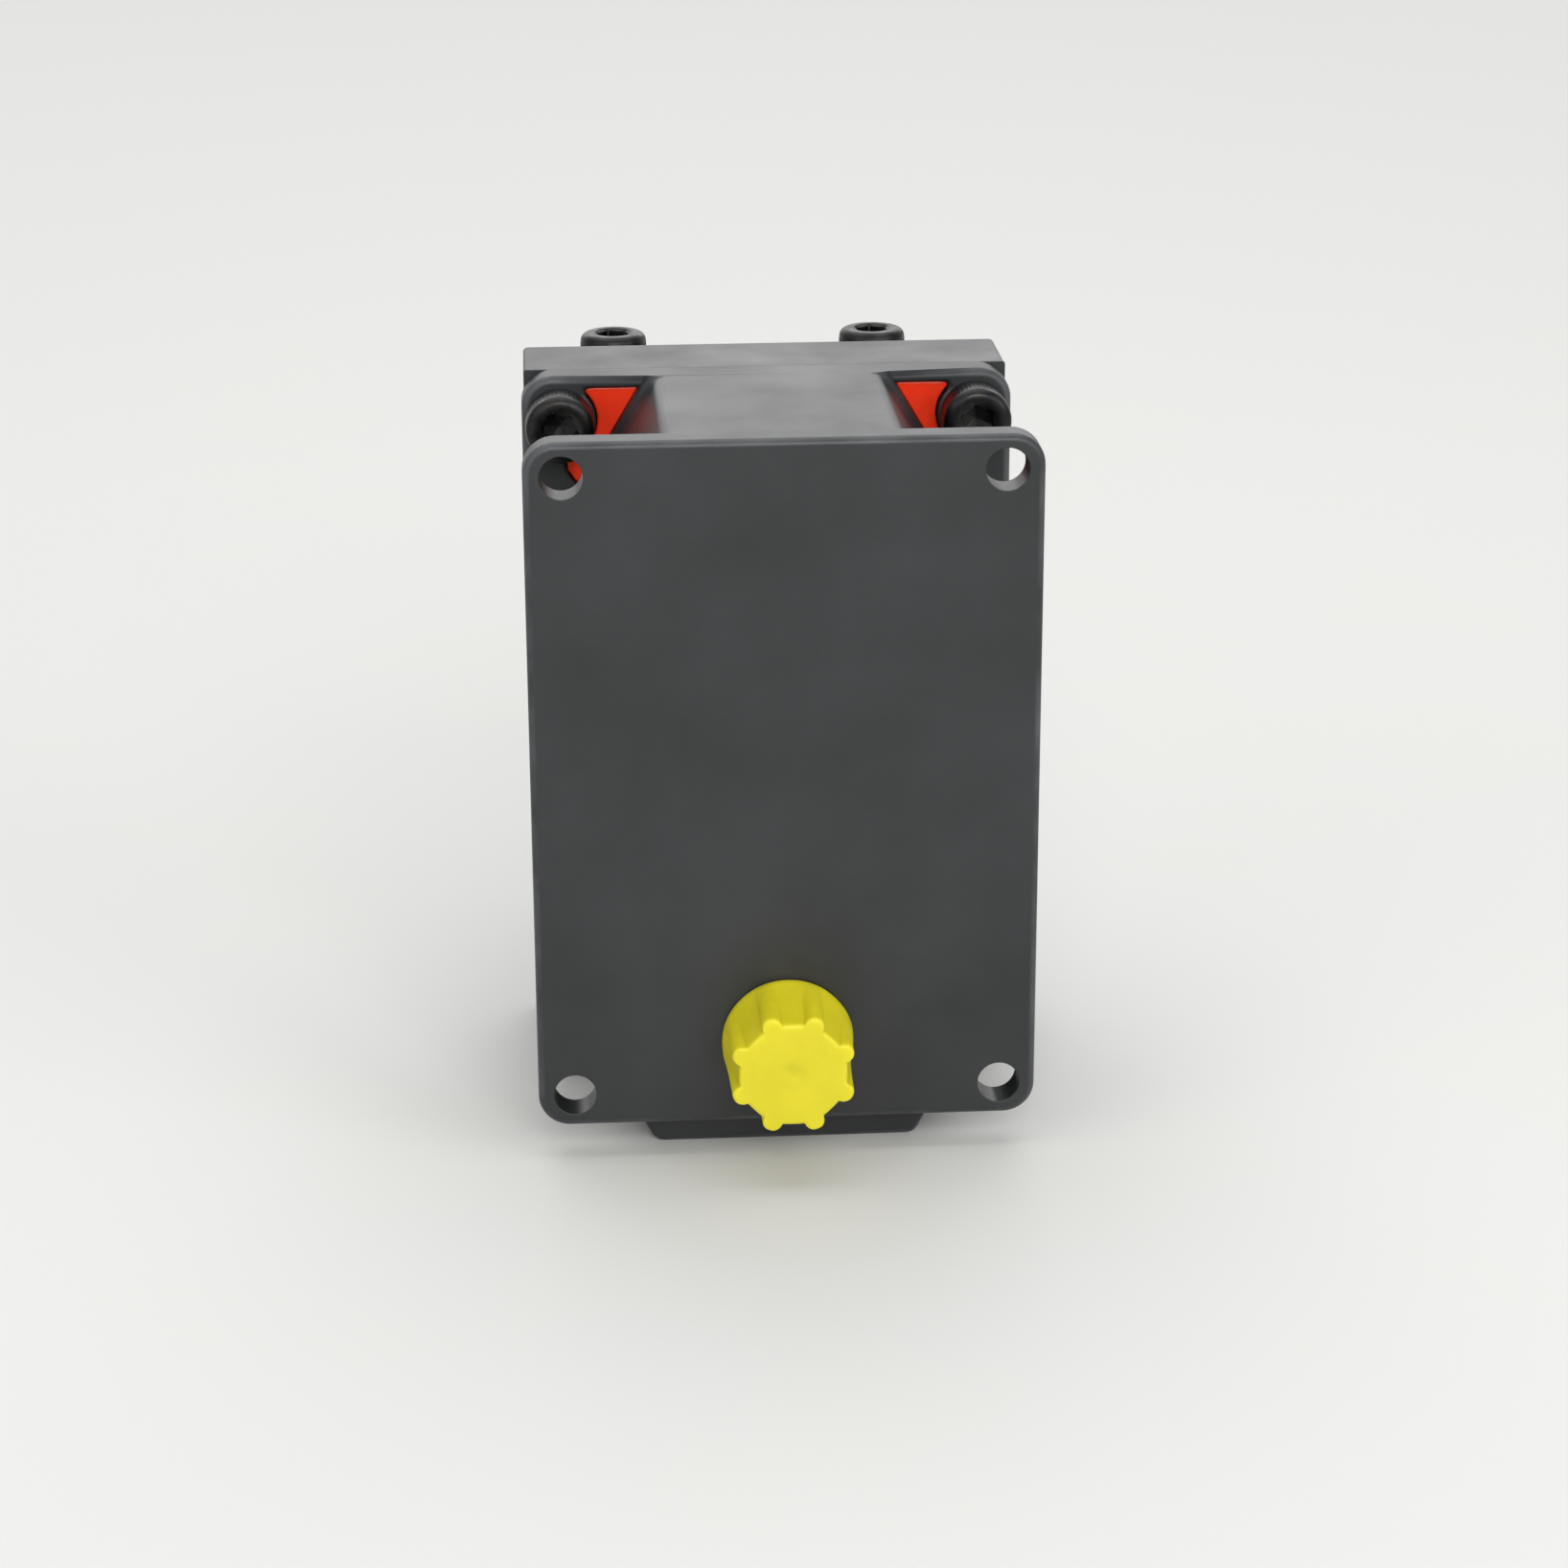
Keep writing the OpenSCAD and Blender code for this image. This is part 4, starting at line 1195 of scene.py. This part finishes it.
@dataclass(frozen=True)
class Fastened:
    """Screws or washers of one kind, and where they sit: (x, y, z, turn) of each."""

    name: str
    node: str
    slot: str
    kind: CapScrew | PanScrew | Washer | SpringWasher
    facing: Facing
    spots: Sequence[tuple[float, float, float, float]]
    crease: float = 32.0

    def build(self) -> Object:
        """Builds them as one piece of the case."""
        mesh = copies(self.kind.mesh(), [self.facing.at(*spot) for spot in self.spots])
        return make_piece(self.name, mesh, "case", [self.node], self.slot, self.crease)


FASTENERS = (
    Fastened(
        "clamp_cap_screws", "clamp_screws", "black_screws", CapScrew(), Facing.FRONT,
        [(x, FLANGE_FRONT, z, turn) for (x, z), turn in zip(CLAMPS, (8, 23, 41, 14))],
        crease=38.0,
    ),
    Fastened(
        "terminal_cap_screws", "terminal_screws", "black_screws", CapScrew(length=21.8),
        Facing.UP,
        [
            (x, y, BAR_TOP + FLAT_THICK + SPRING_THICK, turn)
            for (x, y), turn in zip(TERMINALS, (17, 4))
        ],
        crease=38.0,
    ),
    Fastened(
        "terminal_flat_washers", "flat_washers", "zinc_washers",
        Washer(inner=4.3, outer=8.0, thick=FLAT_THICK),
        Facing.UP, [(x, y, BAR_TOP, 0) for x, y in TERMINALS],
    ),
    Fastened(
        "terminal_spring_washers", "spring_washers", "zinc_washers", SpringWasher(),
        Facing.UP, [(x, y, BAR_TOP + FLAT_THICK, 0) for x, y in TERMINALS],
    ),
    Fastened(
        "earth_flat_washer", "earth_washer", "brass",
        Washer(inner=2.8, outer=5.5, thick=EARTH_THICK, edge=0.15),
        Facing.REAR, [(EARTH_X, BLOCK_BACK, EARTH_Z, 0)],
    ),
    Fastened(
        "cover_pan_screws", "cover_screws", "zinc_screws",
        PanScrew(radius=2.0, head_radius=3.6, head_height=2.4, length=6.4), Facing.REAR,
        [(x, COVER_BACK, z, turn) for (x, z), turn in zip(COVER_CORNERS, (12, 40, 67, 31))],
    ),
    Fastened(
        "base_pan_screws", "base_screws", "zinc_screws",
        PanScrew(radius=2.5, head_radius=4.25, head_height=5.0, length=14.0),
        Facing.REAR, [(38.3, 86.0, 39.4, 20), (-38.3, 86.0, 39.4, 52)],
    ),
    Fastened(
        "earth_pan_screw", "earth_screw", "brass",
        PanScrew(radius=2.5, head_radius=4.6, head_height=3.2, length=9.0),
        Facing.REAR, [(EARTH_X, BLOCK_BACK + EARTH_THICK, EARTH_Z, 35)],
    ),
)


@dataclass
class DetentCoil:
    """Compression spring over the detent plunger, which shortens as the plunger lifts."""

    spot_y: float = 24.0
    low: float = -25.0
    high: float = -16.0
    room: float = 0.02
    radius: float = 3.6
    wire: float = 0.55
    turns: int = 5
    lift: float = 0.9
    sides: int = 10
    steps: int = 24
    crease: float = 60.0

    def mesh(self) -> BMesh:
        """The coil, standing upright, with closed turns at both ends."""
        mesh = bmesh.new()
        ring = bmesh.ops.create_circle(mesh, segments=self.sides, radius=self.wire * MM)["verts"]
        stand_section(mesh, ring, Vector((self.radius, 0, self.low + self.room + self.wire)))
        closed = 2 * self.wire + self.room
        height = self.high - self.low - 2 * (self.room + self.wire)
        free = (height - 2 * closed) / self.turns
        last = mesh.verts[:] + mesh.edges[:]
        for turns, pitch in ((1, closed), (self.turns, free), (1, closed)):
            last = bmesh.ops.spin(
                mesh, geom=last, cent=(0, 0, 0), axis=(0, 0, 1),
                dvec=(0, 0, pitch * MM / self.steps), angle=turns * 2 * math.pi,
                steps=turns * self.steps, use_merge=False,
            )["geom_last"]
        bmesh.ops.holes_fill(mesh, edges=mesh.edges, sides=self.sides)
        bmesh.ops.recalc_face_normals(mesh, faces=mesh.faces)
        return mesh

    def build(self) -> Object:
        """Builds the coil on the plunger."""
        mesh = copies(self.mesh(), [Matrix.Translation((0.0, self.spot_y * MM, 0.0))])
        look = ("spring_steel", self.crease)
        coil = make_piece("detent_coil", mesh, "plunger", ["detent_spring"], *look)
        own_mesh(coil)
        return coil


# ---- knob ------------------------------------------------------------------------


@dataclass
class Knob:
    """Fluted turning knob: flutes that run out towards its back, and a dished face."""

    back: float = -0.5
    axis_z: float = -50.3
    length: float = 16.6
    rim_back: float = 12.6
    rim_face: float = 12.15
    core_back: float = 12.75
    run_out: float = 0.6
    core_face: float = 9.95
    flatness: float = 0.6
    fullness: float = 0.25
    ribs: int = 8
    rib_radius: float = 1.85
    valley_soft: float = 0.8
    rim_soft: float = 0.3
    back_edge: tuple[Pair, ...] = ((0.0, 0.4), (0.12, 0.1))
    side_start: float = 0.4
    side_steps: int = 16
    face_round: float = 0.7
    face_shares: tuple[float, ...] = (0.35, 0.7, 1.0)
    face_ring: float = 6.5
    dish_radius: float = 3.4
    dish_depth: float = 0.3
    dish_pit: float = 0.15
    dish_steps: int = 8
    bore: float = 11.0
    bore_edge: float = 0.3
    bore_depth: float = 13.5
    segments: int = 384
    crease: float = 55.0

    def fluted(self, height: float, inset: float = 0.0) -> Outline:
        """Outline of core and ribs at a height.

        Args:
            height: distance in front of the knob's back.
            inset: how far the outline is drawn in.

        Returns:
            The outline.
        """
        share = height / self.length
        core = self.core_back + (self.core_face - self.core_back) * share**self.run_out
        rim = self.rim_back + (self.rim_face - self.rim_back) * share
        middle = rim - self.rib_radius
        flat = polygon_line(self.ribs, core)
        pitch = 2 * math.pi / self.ribs

        def line(angle: float) -> float:
            """Reach of core or rib at an angle, whichever is larger."""
            away = angle % pitch - pitch / 2
            body = self.flatness * flat(angle) + (1 - self.flatness) * (core + self.fullness)
            side = self.rib_radius**2 - (middle * math.sin(away)) ** 2
            rib = middle * math.cos(away) + math.sqrt(side) if side > 0 else 0.0
            outer = blended(body, rib, self.valley_soft)
            return -blended(-outer, -rim, self.rim_soft) - inset

        return line

    def mesh(self) -> BMesh:
        """The knob along +Z, with its back at height 0."""
        shell = Shell(self.segments)
        bore = polygon_line(6, self.bore / 2)
        shell.ring(self.bore_depth, bore).ring(self.bore_edge, bore)
        shell.ring(0.0, polygon_line(6, self.bore / 2 + self.bore_edge))
        for height, inset in self.back_edge:
            shell.ring(height, self.fluted(height, inset))
        start, end = self.side_start, self.length - self.face_round
        for step in range(self.side_steps + 1):
            height = start + (end - start) * step / self.side_steps
            shell.ring(height, self.fluted(height))
        for rise, inset in quarter_round():
            height = end + self.face_round * rise
            shell.ring(height, self.fluted(height, self.face_round * inset))
        self.face(shell)
        return shell.closed()

    def face(self, shell: Shell) -> None:
        """Closes the face with its shallow round dish."""
        outer = self.fluted(self.length, self.face_round)

        def between(share: float) -> Outline:
            """Outline part of the way from the rim to a round ring."""
            return lambda angle: outer(angle) * (1 - share) + self.face_ring * share

        for share in self.face_shares:
            shell.ring(self.length, between(share))
        for step in range(self.dish_steps + 1):
            share = step / self.dish_steps
            bowl = 0.5 - 0.5 * math.cos(math.pi * share)
            radius = self.dish_radius * (1 - share) + self.dish_pit
            shell.ring(self.length - self.dish_depth * bowl, round_line(radius))

    def build(self) -> Object:
        """Builds the knob on the turning body."""
        mesh = copies(self.mesh(), [Facing.FRONT.at(0.0, self.back, self.axis_z)])
        look = ("yellow_moulding", self.crease)
        knob = make_piece("turning_knob", mesh, "turning", ["knob"], *look)
        self.mark_dish(knob.data)
        return knob

    def mark_dish(self, data: Mesh) -> None:
        """Marks the points of the dish, which its finish makes darker towards the middle."""
        axis = Vector((0.0, self.axis_z * MM))
        front = (self.back - self.length + self.face_round) * MM
        dull = data.attributes.new(TONE_MARK, "FLOAT", "POINT")
        for vert, item in zip(data.vertices, dull.data):
            away = (vert.co.xz - axis).length / MM
            if vert.co.y < front and away < self.dish_radius:
                item.value = 1.0 - (away / self.dish_radius) ** 2


# ---- studio ------------------------------------------------------------------------


@dataclass
class Softbox:
    """Rectangular lamp that hangs in the studio and points at the part, sized in metres."""

    name: str
    spot: Spot
    size: Pair
    power: float

    def build(self, target: Vector) -> None:
        """Hangs the lamp, turned towards a point in metres."""
        lamp = bpy.data.lights.new(self.name, "AREA")
        lamp.shape = "RECTANGLE"
        lamp.size, lamp.size_y = self.size
        lamp.energy = self.power
        hung = place_object(self.name, lamp)
        hung.location = self.spot
        hung.rotation_euler = (target - Vector(self.spot)).to_track_quat("-Z", "Y").to_euler()
        hung.visible_camera = False


def seen_share(tree: NodeTree) -> NodeSocket:
    """1 where a surface is looked at, reflected or seen through glass, and 0 where it lights."""
    path = tree.nodes.new("ShaderNodeLightPath")
    either = path.outputs["Is Camera Ray"]
    for name in ("Is Glossy Ray", "Is Transmission Ray"):
        either = combined(tree, "MAXIMUM", either, path.outputs[name])
    return either


@dataclass
class Studio:
    """Pale floor, soft lamps and the camera; floor, fade, lamps and aim are in metres."""

    floor_reach: float = 4.0
    floor_color: Color = (0.69, 0.69, 0.677)
    floor_warmth: float = 0.985
    floor_clouds: float = 90.0
    aim: Spot = (0.0, 0.03, 0.0)
    camera_spot: Spot = (-43.7, -661.9, 233.9)
    pitch: float = 19.331
    yaw: float = 3.737
    roll: float = -0.231
    lens: float = 86.89
    fill: float = 0.4
    backdrop: Color = (0.77, 0.77, 0.765)
    fade_from_to: Pair = (0.55, 1.8)
    lamps: tuple[Softbox, ...] = (
        Softbox("front_lamp", (0.2, -2.1, 1.2), (1.4, 1.0), 28.0),
        Softbox("top_lamp", (0.0, 0.6, 2.2), (2.6, 2.6), 34.0),
        Softbox("back_lamp", (0.0, 2.4, 1.0), (3.0, 0.8), 15.0),
        Softbox("left_lamp", (-1.0, -0.8, 0.55), (0.8, 0.8), 2.5),
        Softbox("right_lamp", (1.0, -0.8, 0.55), (0.8, 0.8), 4.5),
    )

    def floor(self) -> None:
        """Wide pale floor that takes the part's shadow."""
        mesh = bmesh.new()
        bmesh.ops.create_grid(mesh, x_segments=2, y_segments=2, size=self.floor_reach)
        bmesh.ops.translate(mesh, vec=(0, 0, LOW * MM), verts=mesh.verts)
        data = bpy.data.meshes.new("floor")
        mesh.to_mesh(data)
        mesh.free()
        floor = place_object("floor", data)
        graph = Graph("floor_paper")
        clouds = graph.spread(graph.noise(self.floor_clouds, 2.0), 0.4, 0.7)
        red, green, blue = self.floor_color
        warm = (red, green, blue * self.floor_warmth)
        paper = graph.tint(clouds, self.floor_color, warm)
        graph.fill(graph.shader, Base_Color=paper, Roughness=0.75, IOR=1.3)
        self.fade(graph)
        data.materials.append(graph.material)

    def fade(self, graph: Graph) -> None:
        """Lets the floor run out into the surroundings, so that no horizon shows."""
        length = graph.add("ShaderNodeVectorMath")
        length.operation = "LENGTH"
        graph.feed(length.inputs[0], graph.place)
        far = graph.spread(length.outputs["Value"], *self.fade_from_to)
        share = combined(graph.tree, "MULTIPLY", far, seen_share(graph.tree))
        paper = graph.add("ShaderNodeEmission", Color=(*self.backdrop, 1.0))
        lit, seen = graph.shader.outputs["BSDF"], paper.outputs["Emission"]
        graph.feed(graph.surface, mixed(graph.tree, share, lit, seen))

    def world(self) -> None:
        """Pale surroundings, seen brighter than they light."""
        world = bpy.data.worlds.new("studio")
        world.use_nodes = True
        bpy.context.scene.world = world
        tree = world.node_tree
        tree.nodes.clear()
        light, seen = (tree.nodes.new("ShaderNodeBackground") for _ in range(2))
        light.inputs["Color"].default_value = (1.0, 1.0, 1.0, 1.0)
        light.inputs["Strength"].default_value = self.fill
        seen.inputs["Color"].default_value = (*self.backdrop, 1.0)
        both = mixed(tree, seen_share(tree), light.outputs[0], seen.outputs[0])
        tree.links.new(both, tree.nodes.new("ShaderNodeOutputWorld").inputs["Surface"])

    def camera(self) -> None:
        """Camera a little to the left, looking down at the front."""
        pitch, yaw, roll = (math.radians(a) for a in (self.pitch, self.yaw, self.roll))
        ahead = Vector(
            (math.sin(yaw) * math.cos(pitch), math.cos(yaw) * math.cos(pitch), -math.sin(pitch))
        )
        right = Vector((math.cos(yaw), -math.sin(yaw), 0.0))
        up = right.cross(ahead)
        side = math.cos(roll) * right + math.sin(roll) * up
        above = math.cos(roll) * up - math.sin(roll) * right
        data = bpy.data.cameras.new("camera")
        data.lens = self.lens
        data.sensor_width = 36.0
        data.clip_start, data.clip_end = 0.01, 30.0
        camera = place_object("camera", data)
        turn = Matrix((side, above, -ahead)).transposed()
        camera.matrix_world = Matrix.Translation(Vector(self.camera_spot) * MM) @ turn.to_4x4()
        bpy.context.scene.camera = camera

    def build(self) -> None:
        """Sets up the whole studio."""
        bpy.context.scene.view_settings.view_transform = "Standard"
        self.camera()
        self.floor()
        self.world()
        for lamp in self.lamps:
            lamp.build(Vector(self.aim))


# ---- the whole part --------------------------------------------------------------


@dataclass
class Switch:
    """The rotary isolator switch: every piece that is seen, and the finish of the rest."""

    frame: dict[str, Any]

    def frame_pieces(self) -> list[FramePiece]:
        """Pieces whose shape comes from the frame."""
        return [
            Housing(),
            ContactBlock(),
            Carrier(),
            FramePiece("terminal_base", "black_moulding", edge=0.5),
            FramePiece("line_bar", "copper", edge=0.35),
            FramePiece("load_bar", "copper", edge=0.35),
            FramePiece("rear_cover", "cover_plate", edge=0.35),
            FramePiece("cover_gasket", "gasket_rubber", edge=0.15, steps=2),
        ]

    def dress_inner(self) -> None:
        """Gives every node that keeps its own shape the finish of its slot."""
        nodes = self.frame["nodes"]
        for part in self.frame["record"]["subparts"]:
            dress(nodes[part["node"]].data, part["material_slot"])

    def build(self) -> None:
        """Builds the part."""
        self.dress_inner()
        for piece in self.frame_pieces():
            piece.build(self.frame["nodes"])
        for fastened in FASTENERS:
            fastened.build()
        DetentCoil().build()
        Knob().build()


def main() -> None:
    """Builds the studio and the switch round the frame."""
    logging.basicConfig(level=logging.INFO, format="%(message)s")
    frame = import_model()
    Studio().build()
    Switch(frame).build()


if __name__ == "__main__":
    main()
